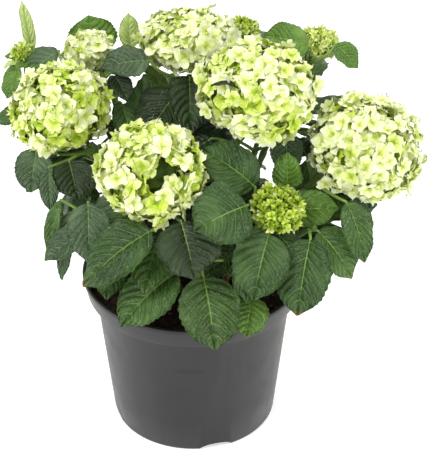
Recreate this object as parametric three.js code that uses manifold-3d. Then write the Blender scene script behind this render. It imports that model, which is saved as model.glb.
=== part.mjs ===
// A hydrangea shrub in its nursery pot: canes, leafy shoots and flower heads above a potful of compost.
// Millimetres, +Z up, +X to the right, the front towards -Y. The origin is the middle of the pot's underside.

import * as THREE from "three";
import { ConvexGeometry } from "three/addons/geometries/ConvexGeometry.js";
import { mergeVertices } from "three/addons/utils/BufferGeometryUtils.js";
import Module from "manifold-3d";

const wasm = await Module();
wasm.setup();

// ---------------------------------------------------------------- driving sizes
const POT_HEIGHT = 174;
const POT_BOTTOM_R = 86;
const POT_BODY_TOP_R = 102.5;
const SHOULDER_Z = 152;
const BAND_BOTTOM_R = 111;
const RIM_R = 115;
const LIP = 3;
const LIP_HEIGHT = 4;
const WALL = 1.9;
const FLOOR = 3;
const FOOT_CHAMFER = 2.5;
const POT_SEGMENTS = 40;

// Drainage arches cut through the foot: the first one's direction is in degrees from +X.
const ARCH_COUNT = 4;
const ARCH_WIDTH = 34;
const ARCH_HEIGHT = 6.5;
const ARCH_INNER_R = 77;
const ARCH_DEPTH = 20;
const ARCH_FIRST = -74;

const SOIL_TOP = 162;
// The space left between two neighbouring solids.
const GAP = 0.35;
// How far below its head a leafy shoot ends, and how far below that (as a share) the last leaf may sit.
const NECK_LENGTH = 4;
const LAST_NODE = 0.015;

const CANE_SIDES = 6;
const CANE_STEPS = 4;
const STEM_SIDES = 4;
const STEM_STEPS = 5;
// A shoot's radius at its foot, at the share TAPER_SHARE and at its head.
const CANE_R = 4.2;
const STEM_R = 3.1;
const NECK_R = 2.4;
const TAPER_SHARE = 0.42;
// Where the bend of a shoot's centre line is pulled to, as shares of the way from foot to top.
const LEAN = new THREE.Vector3(0.3, 0.3, 0.6);

const PETIOLE_R = 1.7;
const PETIOLE_ARCH = 0.08;
const BLADE_THICK = 1.8;
const EDGE_RISE = 0.22;
const EDGE_CURL = 0.1;
const BLADE_STATIONS = [0, 0.18, 0.46, 0.76, 1];

// The room a leaf needs from other leaves, stems, heads, the pot and its own head (for the stalk).
const CLEAR = 3;
const STEM_CLEAR = 1.6;
const HEAD_CLEAR = 1.1;
const POT_CLEAR = 3;
const STALK_CLEAR = 3;
const TEST_STATIONS = [0, 0.09, 0.18, 0.3, 0.46, 0.6, 0.76, 0.88, 1];
const PATH_STEPS = 12;
// Leaves whose middles are further apart than their half lengths and this much can't meet.
const NEAR_BLADES = 10;
const NEAR_STALKS = 80;

// A leaf placed by rule: [least, spread] of each size, and what each further try takes from it.
const TRIES = 22;
const RULE_TURN = 24;
const RULE_TURN_TRY = 6;
const RULE_PITCH = [6, 30];
const RULE_PITCH_TRY = 2;
const RULE_DROOP = [30, 34];
const RULE_LENGTH = [0.84, 0.16];
const RULE_LENGTH_TRY = 0.022;
const RULE_WIDTH = [0.6, 0.1];
const RULE_ROLL = 40;
const RULE_REACH = [24, 12];
const STALK_OUT = 0.86;
const STALK_UP = 0.5;

// How far a head's crests fall short of its radius at most, and where its dips lie.
const HEAD_WOBBLE = 0.07;
const HEAD_DIP = 0.86;
const GOLDEN_ANGLE = Math.PI * (3 - Math.sqrt(5));

// Each shoot rises from its foot on the compost (x, y) to its top (x, y, z).
// `mass` is the share of its length where the cane ends and the leafy part begins.
// `r` is the head's radius and `flat` its height against its width, `florets` how many flowers it carries.
// `pairs` are the shares that carry an opposite pair of leaves, `turn` the first pair's direction in degrees
// and `blade` the length of the biggest leaf.
const SHOOTS = [
  { name: "left", foot: [-34, 8], top: [-134, 30, 346], mass: 0.26,
    r: 53, flat: 0.86, florets: 76, pairs: [0.3, 0.44, 0.56, 0.68, 0.79], turn: 20, blade: 110 },
  { name: "upper-left", foot: [-30, 38], top: [-108, 107, 372], mass: 0.42,
    r: 26, flat: 0.7, florets: 44, pairs: [0.48, 0.6, 0.72, 0.85], turn: 75, blade: 105 },
  { name: "crown", foot: [-4, 44], top: [-4, 104, 384], mass: 0.42,
    r: 53, flat: 0.62, florets: 76, pairs: [0.48, 0.6, 0.71, 0.81], turn: 10, blade: 120 },
  { name: "middle", foot: [16, 0], top: [64, -10, 388], mass: 0.38,
    r: 60, flat: 0.8, florets: 84, pairs: [0.42, 0.54, 0.66, 0.78], turn: 60, blade: 115 },
  { name: "right", foot: [46, 4], top: [172, -10, 324], mass: 0.26,
    r: 60, flat: 0.86, florets: 84, pairs: [0.3, 0.44, 0.56, 0.68, 0.79], turn: 30, blade: 110 },
  { name: "front", foot: [-16, -26], top: [-38, -74, 334], mass: 0.38,
    r: 54, flat: 0.86, florets: 76, pairs: [0.42, 0.55, 0.67, 0.78], turn: 100, blade: 90 },
  { name: "green", foot: [28, -34], top: [84, -74, 292], mass: 0.38,
    r: 27, flat: 0.74, florets: 44, pairs: [0.48, 0.64], turn: 65, blade: 80 },
  { name: "upper-right", foot: [40, 38], top: [130, 104, 382], mass: 0.42,
    r: 20, flat: 0.74, florets: 34, pairs: [0.46, 0.58, 0.7], turn: 80, blade: 105 },
  { name: "far-left", foot: [-58, 34], top: [-178, 118, 364], mass: 0.42,
    r: 10, flat: 0.8, florets: 20, pairs: [0.48, 0.62, 0.74], turn: 60, blade: 85 },
  { name: "behind", foot: [18, 52], top: [52, 160, 369], mass: 0.42,
    r: 17, flat: 0.74, florets: 30, pairs: [0.46, 0.58, 0.7], turn: 60, blade: 105 },
  { name: "back-right", foot: [46, 62], top: [84, 174, 286], mass: 0.28,
    r: 50, flat: 0.84, florets: 70, pairs: [0.32, 0.46, 0.61, 0.75], turn: 0, blade: 95 },
  { name: "back", foot: [-12, 68], top: [-34, 172, 262], mass: 0.28,
    r: 40, flat: 0.84, florets: 60, pairs: [0.32, 0.46, 0.61, 0.75], turn: 20, blade: 90 },
  { name: "back-left", foot: [-50, 56], top: [-146, 136, 286], mass: 0.28,
    r: 44, flat: 0.84, florets: 60, pairs: [0.32, 0.46, 0.61, 0.75], turn: 50, blade: 95 },
  { name: "low-front", foot: [4, -56], top: [8, -84, 246], mass: 0.5,
    pairs: [0.7], turn: 0, blade: 60 },
  { name: "low-left", foot: [-52, -22], top: [-102, -50, 262], mass: 0.42,
    pairs: [0.5, 0.7], turn: 85, blade: 70 },
  { name: "low-right", foot: [58, -26], top: [120, -70, 268], mass: 0.28,
    pairs: [0.34, 0.5, 0.7], turn: 100, blade: 80 },
  { name: "side-right", foot: [76, 24], top: [132, 52, 232], mass: 0.28,
    pairs: [0.34, 0.6, 0.9], turn: 20, blade: 95 },
  { name: "side-left", foot: [-78, 10], top: [-114, 46, 236], mass: 0.28,
    pairs: [0.34, 0.6, 0.9], turn: 100, blade: 75 },
  { name: "low-back", foot: [22, 86], top: [26, 122, 232], mass: 0.28,
    pairs: [0.34, 0.6, 0.9], turn: 0, blade: 95 },
];

// The leaves that show in front are set one by one: the shoot, the share along it, where the blade begins
// (x, y, z), its turn, pitch and droop in degrees, its length, width and roll.
const SET_LEAVES = [
  ["front", 0.7, -37, -116, 294, -169, -27, 25, 90, 56, -28],
  ["front", 0.79, -10, -112, 302, -66, -44, 25, 58, 70, 0],
  ["front", 0.66, -70, -40, 292, -120, -56, 20, 50, 46, -10],
  ["low-front", 0.9, -14, -98, 234, -151, -18, 35, 78, 56, -30],
  ["low-front", 0.86, 11, -100, 230, -75, -34, 40, 74, 66, 0],
  ["low-right", 0.46, 59, -86, 195, -100, -21, 40, 42, 42, 0],
  ["green", 0.74, 62, -54, 304, 177, 46, 15, 68, 52, -46],
  ["green", 0.78, 54, -90, 306, -144, 2, 15, 64, 66, -38],
  ["green", 0.84, 75, -92, 275, -112, -38, 30, 68, 60, -8],
  ["low-right", 0.93, 115, -92, 269, -108, -44, 30, 77, 59, 0],
  ["low-right", 0.9, 123, -70, 264, -30, -33, 30, 60, 46, 26],
  ["right", 0.8, 150, -68, 296, -42, -52, 30, 66, 34, 24],
  ["green", 0.88, 94, -38, 290, 80, 97, 6, 46, 32, 0],
  ["green", 0.8, 91, -41, 267, -12, 19, 14, 56, 43, 34],
  ["upper-right", 0.9, 118, 84, 387, -170, 28, 15, 50, 40, -42],
  ["upper-right", 0.9, 145, 88, 388, -27, -29, 20, 34, 27, 24],
  ["far-left", 0.88, -169, 133, 355, 128, 74, 0, 57, 17, 0],
  ["far-left", 0.88, -182, 112, 354, -142, -56, 20, 40, 24, -16],
  ["upper-left", 0.9, -138, 98, 376, -172, -30, 25, 52, 40, -20],
  ["upper-left", 0.88, -106, 144, 346, 110, 80, 20, 44, 60, 0],
  ["upper-left", 0.86, -66, 130, 362, 100, 78, 10, 38, 24, 0],
  ["crown", 0.84, -43, 64, 382, -168, 6, 20, 50, 40, -26],
  ["crown", 0.8, -12, 66, 350, -128, -20, 24, 66, 66, 0],
  ["left", 0.76, -158, 24, 303, -104, -44, 26, 46, 42, 0],
  ["left", 0.74, -143, -12, 302, -90, -55, 30, 44, 22, 0],
  ["left", 0.7, -122, -20, 314, -74, -22, 24, 44, 44, 0],
  ["low-left", 0.86, -132, -30, 275, -131, -59, 30, 66, 20, 0],
  ["low-left", 0.8, -119, -30, 263, -126, -58, 30, 77, 24, 0],
  ["low-left", 0.94, -100, -80, 303, -88, -55, 30, 62, 44, 0],
  ["green", 0.5, 45, -66, 238, -160, -22, 16, 44, 36, -20],
  ["middle", 0.78, 92, -5, 338, -80, -60, 14, 42, 36, 6],
  ["low-right", 0.8, 104, -8, 250, -66, -28, 24, 46, 36, 0],
];

// Daylight shows through the bush and beside it from the front: straight gaps run from EYE through points
// (x, z) of its middle plane, OPEN_REACH of the way to both sides, and no ruled leaf comes within OPEN_R.
const EYE = [22, -1518, 1192];
const OPEN_REACH = 0.17;
const OPEN_R = 7;
const OPEN_AT = [
  [53, 327], [70, 316], [82, 294], [84, 280], [-82, 389], [-58, 391], [-196, 374], [-196, 357],
  [-164, 256], [-156, 243], [-159, 230], [-154, 210], [-119, 173], [-116, 159], [195, 244],
  [196, 217], [191, 195],
];

// ---------------------------------------------------------------- small helpers
const rad = THREE.MathUtils.degToRad;
const vec = (x, y, z) => new THREE.Vector3(x, y, z);
const clamp = THREE.MathUtils.clamp;

// A repeatable number from 0 to 1 for a whole number k.
function wobble(k) {
  const s = Math.sin(k * 12.9898 + 78.233) * 43758.5453;
  return s - Math.floor(s);
}

function toManifold(geometry) {
  const bare = geometry.clone();
  for (const name of ["normal", "uv"]) {
    if (bare.getAttribute(name)) bare.deleteAttribute(name);
  }
  const merged = mergeVertices(bare, 1e-4);
  const index = Array.from(merged.index.array);
  const keep = [];
  for (let i = 0; i < index.length; i += 3) {
    const [a, b, c] = index.slice(i, i + 3);
    if (a !== b && b !== c && c !== a) keep.push(a, b, c);
  }
  return new wasm.Manifold(new wasm.Mesh({
    numProp: 3,
    vertProperties: Float32Array.from(merged.getAttribute("position").array),
    triVerts: Uint32Array.from(keep),
  }));
}

// The distinct corners of a closed mesh and its triangles as corner numbers.
function toIndexed(geometry) {
  const mesh = toManifold(geometry).getMesh();
  const points = [];
  for (let i = 0; i < mesh.vertProperties.length; i += 3) {
    points.push(vec(...mesh.vertProperties.slice(i, i + 3)));
  }
  const triangles = [];
  for (let i = 0; i < mesh.triVerts.length; i += 3) {
    triangles.push(Array.from(mesh.triVerts.slice(i, i + 3)));
  }
  return { points, triangles };
}

function toGeometry(solid) {
  const mesh = solid.getMesh();
  const corners = Float32Array.from(mesh.vertProperties);
  const geometry = new THREE.BufferGeometry();
  geometry.setAttribute("position", new THREE.BufferAttribute(corners, 3));
  geometry.setIndex(new THREE.BufferAttribute(Uint32Array.from(mesh.triVerts), 1));
  geometry.computeVertexNormals();
  return geometry;
}

// A closed solid from rings of equally many points, with a flat cap at each end.
function fromRings(rings) {
  const n = rings[0].length;
  const positions = rings.flat().flatMap((p) => [p.x, p.y, p.z]);
  const index = [];
  for (let i = 0; i < rings.length - 1; i += 1) {
    for (let j = 0; j < n; j += 1) {
      const a = i * n + j;
      const b = i * n + (j + 1) % n;
      index.push(a, b, b + n, a, b + n, a + n);
    }
  }
  const last = (rings.length - 1) * n;
  for (let j = 1; j < n - 1; j += 1) {
    index.push(0, j + 1, j);
    index.push(last, last + j, last + j + 1);
  }
  const geometry = new THREE.BufferGeometry();
  geometry.setAttribute("position", new THREE.Float32BufferAttribute(positions, 3));
  geometry.setIndex(index);
  return geometry;
}

// A tapering limb along a list of points, each ring square to the limb's direction there.
function limb(points, directions, radii, sides) {
  const rings = points.map((p, i) => {
    const along = directions[i];
    const across = vec(1, 0.2, 0).cross(along).normalize();
    const up = along.clone().cross(across);
    return Array.from({ length: sides }, (_, j) => {
      const a = (2 * Math.PI * j) / sides;
      return p.clone()
        .addScaledVector(across, radii[i] * Math.cos(a))
        .addScaledVector(up, radii[i] * Math.sin(a));
    });
  });
  return fromRings(rings);
}

// ---------------------------------------------------------------- the shoots' centre lines
function centreLine(shoot) {
  const foot = vec(shoot.foot[0], shoot.foot[1], SOIL_TOP + GAP);
  const top = vec(...shoot.top);
  const middle = top.clone().sub(foot).multiply(LEAN).add(foot);
  return new THREE.QuadraticBezierCurve3(foot, middle, top);
}

// The share of a centre line that is GAP long, near a given share.
function gapShare(line, share) {
  const step = 0.01;
  return (step * GAP) / line.getPoint(share).distanceTo(line.getPoint(share - step));
}

function stemRadius(share) {
  if (share < TAPER_SHARE) return CANE_R - (CANE_R - STEM_R) * (share / TAPER_SHARE);
  return STEM_R - (STEM_R - NECK_R) * ((share - TAPER_SHARE) / (1 - TAPER_SHARE));
}

function limbBetween(line, from, to, steps, sides) {
  const points = [];
  const directions = [];
  const radii = [];
  for (let i = 0; i <= steps; i += 1) {
    const t = from + (to - from) * (i / steps);
    points.push(line.getPoint(t));
    directions.push(t > 0 ? line.getTangent(t) : vec(0, 0, 1));
    radii.push(stemRadius(t));
  }
  return limb(points, directions, radii, sides);
}

// ---------------------------------------------------------------- leaves
// Half width of a blade against its greatest half width, from the petiole (0) to the tip (1).
function bladeShape(u) {
  const s = Math.sin(Math.PI * Math.pow(clamp(u, 0, 1), 0.82));
  return Math.pow(Math.max(s, 0), 0.72) * (1 - 0.12 * u);
}

// Where on a shoot a leaf's stalk begins.
function leafRoot(shoot, share) {
  return shoot.line.getPoint(Math.min(share, shoot.neck - LAST_NODE));
}

// A leaf: `rib` is a point of its midrib and `frame` its sideways and upward directions there. `point` is one
// of its middle surface, u from stalk to tip, v from edge to edge (-1 to 1), raised by `lift`.
function makeLeaf(shoot, share, base, turn, pitch, droop, length, width, roll) {
  const root = leafRoot(shoot, share);
  const along = vec(Math.cos(rad(turn)), Math.sin(rad(turn)), 0);
  const aside = vec(-along.y, along.x, 0);
  const first = rad(pitch);
  const bend = -rad(droop);
  const rib = (u) => {
    const now = first + bend * u;
    const straight = Math.abs(bend) < 1e-3;
    const out = straight ? u * Math.cos(first) : (Math.sin(now) - Math.sin(first)) / bend;
    const rise = straight ? u * Math.sin(first) : (Math.cos(first) - Math.cos(now)) / bend;
    return base.clone().addScaledVector(along, out * length).add(vec(0, 0, rise * length));
  };
  const frame = (u) => {
    const now = first + bend * u;
    const tangent = along.clone().multiplyScalar(Math.cos(now)).add(vec(0, 0, Math.sin(now)));
    const up = tangent.clone().cross(aside);
    const side = aside.clone().multiplyScalar(Math.cos(rad(roll))).addScaledVector(up, Math.sin(rad(roll)));
    return { side, normal: tangent.cross(side) };
  };
  const point = (u, v, lift) => {
    const half = (width / 2) * bladeShape(u);
    const { side, normal } = frame(u);
    const rise = EDGE_RISE * Math.abs(v) * half - EDGE_CURL * v * v * half + lift;
    return rib(u).addScaledVector(side, v * half).addScaledVector(normal, rise);
  };
  return { shoot, root, base, rib, frame, point, length };
}

// The blade's middle surface as rows of three points, raised by `lift`.
function sheet(leaf, stations, lift) {
  return stations.map((u) => [-1, 0, 1].map((v) => leaf.point(u, v, lift)));
}

function sheetTriangles(leaf, lift) {
  const rows = sheet(leaf, BLADE_STATIONS, lift);
  const out = [];
  for (let i = 0; i < rows.length - 1; i += 1) {
    for (let j = 0; j < 2; j += 1) {
      const [a, b] = [rows[i][j], rows[i][j + 1]];
      const [c, d] = [rows[i + 1][j], rows[i + 1][j + 1]];
      out.push([a, b, d], [a, d, c]);
    }
  }
  return out;
}

// The stalk from root over a halfway point to the blade. It bows out around the shoot's own flower head.
function petiolePath(leaf) {
  const reach = leaf.base.distanceTo(leaf.root);
  const half = leaf.root.clone().lerp(leaf.base, 0.5).add(vec(0, 0, PETIOLE_ARCH * reach));
  const out = half.clone().sub(leaf.shoot.centre).normalize();
  while (insideHead(half, leaf.shoot, PETIOLE_R + STALK_CLEAR)) half.add(out);
  return [leaf.root, half, leaf.base];
}

// A leaf is one loft: a four-sided stalk opens into a thin lens, thickest along the midrib, down to the tip.
function leafGeometry(leaf) {
  const [root, half, base] = petiolePath(leaf);
  const { side, normal } = leaf.frame(0);
  const onward = side.clone().cross(normal).negate();
  const tangents = [
    half.clone().sub(root).normalize(),
    base.clone().sub(root).normalize(),
    base.clone().sub(half).normalize().add(onward).normalize(),
  ];
  const rings = [root, half, base].map((p, i) => {
    const across = side.clone().projectOnPlane(tangents[i]);
    if (across.length() < 0.4) across.crossVectors(normal, tangents[i]);
    across.setLength(PETIOLE_R);
    const up = tangents[i].clone().cross(across);
    return [p.clone().sub(across), p.clone().sub(up), p.clone().add(across), p.clone().add(up)];
  });
  for (const u of BLADE_STATIONS.slice(1, -1)) {
    rings.push([
      leaf.point(u, -1, 0),
      leaf.point(u, 0, -BLADE_THICK / 2),
      leaf.point(u, 1, 0),
      leaf.point(u, 0, BLADE_THICK / 2),
    ]);
  }
  const tip = leaf.point(1, 0, 0);
  rings.push([tip, tip, tip, tip]);
  return fromRings(rings);
}

// ---------------------------------------------------------------- clearances
// Whether the line from p to q goes through a triangle.
const dir = vec(0, 0, 0);
const ab = vec(0, 0, 0);
const ac = vec(0, 0, 0);
const away = vec(0, 0, 0);
const h = vec(0, 0, 0);
const w = vec(0, 0, 0);
function segmentHits(p, q, [a, b, c]) {
  dir.subVectors(q, p);
  ab.subVectors(b, a);
  ac.subVectors(c, a);
  h.crossVectors(dir, ac);
  const det = ab.dot(h);
  if (Math.abs(det) < 1e-9) return false;
  away.subVectors(p, a);
  const u = away.dot(h) / det;
  if (u < 0 || u > 1) return false;
  w.crossVectors(away, ab);
  const v = dir.dot(w) / det;
  if (v < 0 || u + v > 1) return false;
  const t = ac.dot(w) / det;
  return t >= 0 && t <= 1;
}

function crosses(one, other) {
  const cuts = (from, into) => from.some(([a, b, c]) => into.some((t) => (
    segmentHits(a, b, t) || segmentHits(b, c, t) || segmentHits(c, a, t))));
  return cuts(one, other) || cuts(other, one);
}

function distanceToLine(p, points) {
  let best = Infinity;
  for (let i = 0; i < points.length - 1; i += 1) {
    const near = new THREE.Line3(points[i], points[i + 1]).closestPointToPoint(p, true, vec(0, 0, 0));
    best = Math.min(best, near.distanceTo(p));
  }
  return best;
}

function insideHead(p, shoot, margin) {
  if (!shoot.r) return false;
  const local = p.clone().sub(shoot.centre);
  const high = local.dot(shoot.axis);
  const wide = Math.sqrt(Math.max(local.lengthSq() - high * high, 0));
  const r = shoot.r + margin;
  return (wide / r) ** 2 + (high / (r * shoot.flat)) ** 2 < 1;
}

// Whether a point lies in the pot's rim or in the compost, or nearly so.
function insidePot(p) {
  const up = (p.z - SHOULDER_Z) / (POT_HEIGHT - SHOULDER_Z);
  const wall = up > 0 ? BAND_BOTTOM_R + (RIM_R - BAND_BOTTOM_R) * up : POT_BODY_TOP_R;
  const out = Math.hypot(p.x, p.y);
  const inRim = p.z < POT_HEIGHT + POT_CLEAR && Math.abs(out - wall + LIP / 2) < POT_CLEAR + LIP / 2;
  return inRim || (p.z < SOIL_TOP + POT_CLEAR && out < wall);
}

// The points of a path with `each` more between two neighbours.
function spread(points, each) {
  return points.slice(1).flatMap((p, i) => (
    Array.from({ length: each + 1 }, (_, j) => points[i].clone().lerp(p, (j + 1) / (each + 1)))));
}

function pathHits(path, layers) {
  return path.slice(1).some((q, i) => (
    layers.some((layer) => layer.some((t) => segmentHits(path[i], q, t)))));
}

// Gives a leaf what the clearance tests look at.
function survey(leaf) {
  leaf.layers = [-CLEAR, 0, CLEAR].map((lift) => sheetTriangles(leaf, lift));
  leaf.triangles = leaf.layers[1];
  leaf.points = sheet(leaf, BLADE_STATIONS, 0).flat();
  leaf.petiole = petiolePath(leaf);
  leaf.stalk = spread(leaf.petiole, 2);
  leaf.middle = leaf.rib(0.5);
  return leaf;
}

function clearOfShoot(leaf, points, shoot) {
  const { path } = shoot;
  if (points.some((p) => insideHead(p, shoot, HEAD_CLEAR))) return false;
  if (leaf.stalk.some((p) => insideHead(p, shoot, PETIOLE_R))) return false;
  if (pathHits(path, [-CANE_R, 0, CANE_R].map((lift) => sheetTriangles(leaf, lift)))) return false;
  if (points.some((p) => distanceToLine(p, path) < CANE_R + STEM_CLEAR)) return false;
  if (shoot === leaf.shoot) return true;
  return leaf.stalk.every((p) => distanceToLine(p, path) >= CANE_R + PETIOLE_R + STEM_CLEAR);
}

function clearOfLeaf(leaf, points, other) {
  const apart = other.middle.distanceTo(leaf.middle) - (other.length + leaf.length) / 2;
  if (apart < NEAR_BLADES && leaf.layers.some((layer) => crosses(layer, other.triangles))) return false;
  if (apart > NEAR_STALKS) return true;
  if (pathHits(leaf.petiole, other.layers) || pathHits(other.petiole, leaf.layers)) return false;
  if (other.shoot === leaf.shoot) return true;
  const farFromStalk = (p, room) => distanceToLine(p, other.petiole) >= room;
  return leaf.stalk.every((p) => farFromStalk(p, 2 * PETIOLE_R + STEM_CLEAR))
    && points.every((p) => farFromStalk(p, PETIOLE_R + CLEAR))
    && leaf.stalk.every((p) => other.points.every((q) => p.distanceTo(q) >= PETIOLE_R + CLEAR));
}

function leavesOpen(leaf, points, gap) {
  return !pathHits(gap, leaf.layers) && points.every((p) => distanceToLine(p, gap) >= OPEN_R);
}

function isClear(leaf, placed) {
  const points = sheet(leaf, TEST_STATIONS, 0).flat();
  return SHOOTS.every((shoot) => clearOfShoot(leaf, points, shoot))
    && !points.some(insidePot)
    && OPENINGS.every((gap) => leavesOpen(leaf, points, gap))
    && placed.every((other) => clearOfLeaf(leaf, points, other));
}

// ---------------------------------------------------------------- placing every leaf
// The leafy part ends just under the flower head, which hangs on by a short neck of its own.
function neckShare(shoot) {
  let share = 1;
  while (insideHead(shoot.line.getPoint(share), shoot, NECK_LENGTH)) share -= 0.005;
  return share;
}

for (const shoot of SHOOTS) {
  shoot.line = centreLine(shoot);
  shoot.centre = vec(...shoot.top);
  shoot.axis = shoot.line.getTangent(1).multiplyScalar(0.5).add(vec(0, 0, 0.5)).normalize();
  shoot.neck = neckShare(shoot);
  shoot.path = Array.from({ length: PATH_STEPS + 1 }, (_, i) => shoot.line.getPoint(i / PATH_STEPS));
}

const OPENINGS = OPEN_AT.map(([x, z]) => (
  [OPEN_REACH, -OPEN_REACH].map((share) => vec(x, 0, z).lerp(vec(...EYE), share))));

const leaves = SET_LEAVES.map(([name, share, x, y, z, ...sizes]) => {
  const shoot = SHOOTS.find((one) => one.name === name);
  return survey(makeLeaf(shoot, share, vec(x, y, z), ...sizes));
});

// The leaf of one side (half 0 or 1) of pair i on shoot s, as the rule has it at try k.
function ruledLeaf(shoot, s, i, half, k) {
  const seed = 1000 * s + 100 * i + 50 * half + k;
  const vary = ([least, by], step) => least + by * wobble(seed + step);
  const lean = (wobble(seed) - 0.5) * (RULE_TURN + RULE_TURN_TRY * k);
  const turn = shoot.turn + 90 * i + 180 * half + lean;
  const pitch = RULE_PITCH[0] + RULE_PITCH[1] * (1 - wobble(seed + 7)) - RULE_PITCH_TRY * k;
  const droop = vary(RULE_DROOP, 11);
  const length = shoot.blade * vary(RULE_LENGTH, 17) * (1 - RULE_LENGTH_TRY * k);
  const width = length * vary(RULE_WIDTH, 23);
  const roll = (wobble(seed + 29) - 0.5) * RULE_ROLL;
  const reach = vary(RULE_REACH, 31);
  const out = reach * STALK_OUT;
  const step = vec(Math.cos(rad(turn)) * out, Math.sin(rad(turn)) * out, reach * STALK_UP);
  const share = shoot.pairs[i];
  const base = leafRoot(shoot, share).add(step);
  return makeLeaf(shoot, share, base, turn, pitch, droop, length, width, roll);
}

// Opposite pairs, each turned a quarter from the one below. A leaf without room is tried again a little
// smaller and turned, and left out in the end.
SHOOTS.forEach((shoot, s) => {
  shoot.pairs.forEach((share, i) => {
    for (const half of [0, 1]) {
      for (let k = 0; k < TRIES; k += 1) {
        const leaf = survey(ruledLeaf(shoot, s, i, half, k));
        if (isClear(leaf, leaves)) {
          leaves.push(leaf);
          break;
        }
      }
    }
  });
});

// ---------------------------------------------------------------- flower heads
// A head is a ball of florets set on a golden-angle spiral: each is a crest, with a dip between neighbours.
function headSolid(shoot, s) {
  const onBall = Array.from({ length: shoot.florets }, (_, i) => {
    const high = 1 - (2 * i + 1) / shoot.florets;
    const wide = Math.sqrt(1 - high * high);
    const a = GOLDEN_ANGLE * i + s;
    return vec(wide * Math.cos(a), wide * Math.sin(a), high);
  });
  const turned = new THREE.Quaternion().setFromUnitVectors(vec(0, 0, 1), shoot.axis);
  const toWorld = (p, reach) => {
    const out = p.clone().multiplyScalar(reach * shoot.r);
    out.z *= shoot.flat;
    return out.applyQuaternion(turned).add(shoot.centre);
  };
  const hull = toIndexed(new ConvexGeometry(onBall));
  const crests = hull.points.map((p, i) => toWorld(p, 1 - HEAD_WOBBLE * wobble(i + 17 * s)));
  const positions = [...crests];
  const index = [];
  for (const [a, b, c] of hull.triangles) {
    const dip = hull.points[a].clone().add(hull.points[b]).add(hull.points[c]).normalize();
    positions.push(toWorld(dip, HEAD_DIP));
    const d = positions.length - 1;
    index.push(a, b, d, b, c, d, c, a, d);
  }
  const flatList = positions.flatMap((p) => [p.x, p.y, p.z]);
  const ball = new THREE.BufferGeometry();
  ball.setAttribute("position", new THREE.Float32BufferAttribute(flatList, 3));
  ball.setIndex(index);
  const neck = limbBetween(shoot.line, shoot.neck + gapShare(shoot.line, shoot.neck), 1, 1, STEM_SIDES);
  return toManifold(ball).add(toManifold(neck));
}

// ---------------------------------------------------------------- pot and compost
function latheProfile(points) {
  const outline = points.map(([r, z]) => new THREE.Vector2(r, z));
  return new THREE.LatheGeometry(outline, POT_SEGMENTS).rotateX(Math.PI / 2);
}

function bodyRadius(z) {
  return POT_BOTTOM_R + (POT_BODY_TOP_R - POT_BOTTOM_R) * (z / SHOULDER_Z);
}

// A flat-topped arch with rounded shoulders, its foot a little below the ground.
function archCutter(turn) {
  const [foot, shoulder, flat] = [ARCH_WIDTH / 2, ARCH_WIDTH / 2.6, ARCH_WIDTH / 4.5];
  const arch = new THREE.Shape();
  arch.moveTo(-foot, -1);
  arch.lineTo(-foot, 0);
  arch.quadraticCurveTo(-shoulder, ARCH_HEIGHT, -flat, ARCH_HEIGHT);
  arch.lineTo(flat, ARCH_HEIGHT);
  arch.quadraticCurveTo(shoulder, ARCH_HEIGHT, foot, 0);
  arch.lineTo(foot, -1);
  const options = { depth: ARCH_DEPTH, bevelEnabled: false, curveSegments: 3 };
  const cutter = new THREE.ExtrudeGeometry(arch, options);
  cutter.rotateX(Math.PI / 2);
  cutter.translate(0, ARCH_INNER_R + ARCH_DEPTH, 0);
  return cutter.rotateZ(rad(turn - 90));
}

function potSolid() {
  const innerBand = BAND_BOTTOM_R - WALL;
  const outline = [
    [0, 0],
    [POT_BOTTOM_R - FOOT_CHAMFER, 0],
    [bodyRadius(FOOT_CHAMFER), FOOT_CHAMFER],
    [POT_BODY_TOP_R, SHOULDER_Z],
    [BAND_BOTTOM_R, SHOULDER_Z],
    [RIM_R, POT_HEIGHT - 1],
    [RIM_R - 1, POT_HEIGHT],
    [RIM_R - LIP + 1, POT_HEIGHT],
    [RIM_R - LIP, POT_HEIGHT - 1],
    [RIM_R - LIP, POT_HEIGHT - LIP_HEIGHT],
    [RIM_R - WALL - 0.6, POT_HEIGHT - LIP_HEIGHT - 1],
    [innerBand, SHOULDER_Z + WALL],
    [POT_BODY_TOP_R - WALL, SHOULDER_Z + WALL],
    [bodyRadius(FLOOR) - WALL, FLOOR],
    [0, FLOOR],
  ];
  let solid = toManifold(latheProfile(outline));
  for (let i = 0; i < ARCH_COUNT; i += 1) {
    solid = solid.subtract(toManifold(archCutter(ARCH_FIRST + (360 / ARCH_COUNT) * i)));
  }
  return solid;
}

function soilSolid() {
  const up = (SOIL_TOP - SHOULDER_Z) / (POT_HEIGHT - SHOULDER_Z);
  const atRim = BAND_BOTTOM_R - WALL + (RIM_R - BAND_BOTTOM_R) * up;
  const outline = [
    [0, FLOOR + GAP],
    [bodyRadius(FLOOR) - WALL - GAP, FLOOR + GAP],
    [POT_BODY_TOP_R - WALL - GAP, SHOULDER_Z + WALL],
    [POT_BODY_TOP_R - WALL - GAP, SHOULDER_Z + WALL + GAP],
    [BAND_BOTTOM_R - WALL - GAP - 0.3, SHOULDER_Z + WALL + GAP],
    [atRim - GAP - 1, SOIL_TOP],
    [0, SOIL_TOP],
  ];
  return latheProfile(outline);
}

// ---------------------------------------------------------------- the scene graph
const group = new THREE.Group();

function addMesh(name, geometry, color, roughness) {
  const mesh = new THREE.Mesh(geometry, new THREE.MeshStandardMaterial({ color, roughness, metalness: 0 }));
  mesh.name = name;
  group.add(mesh);
}

addMesh("pot", toGeometry(potSolid()), 0x48484a, 0.55);
addMesh("compost", soilSolid(), 0x2b2019, 0.95);

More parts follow.
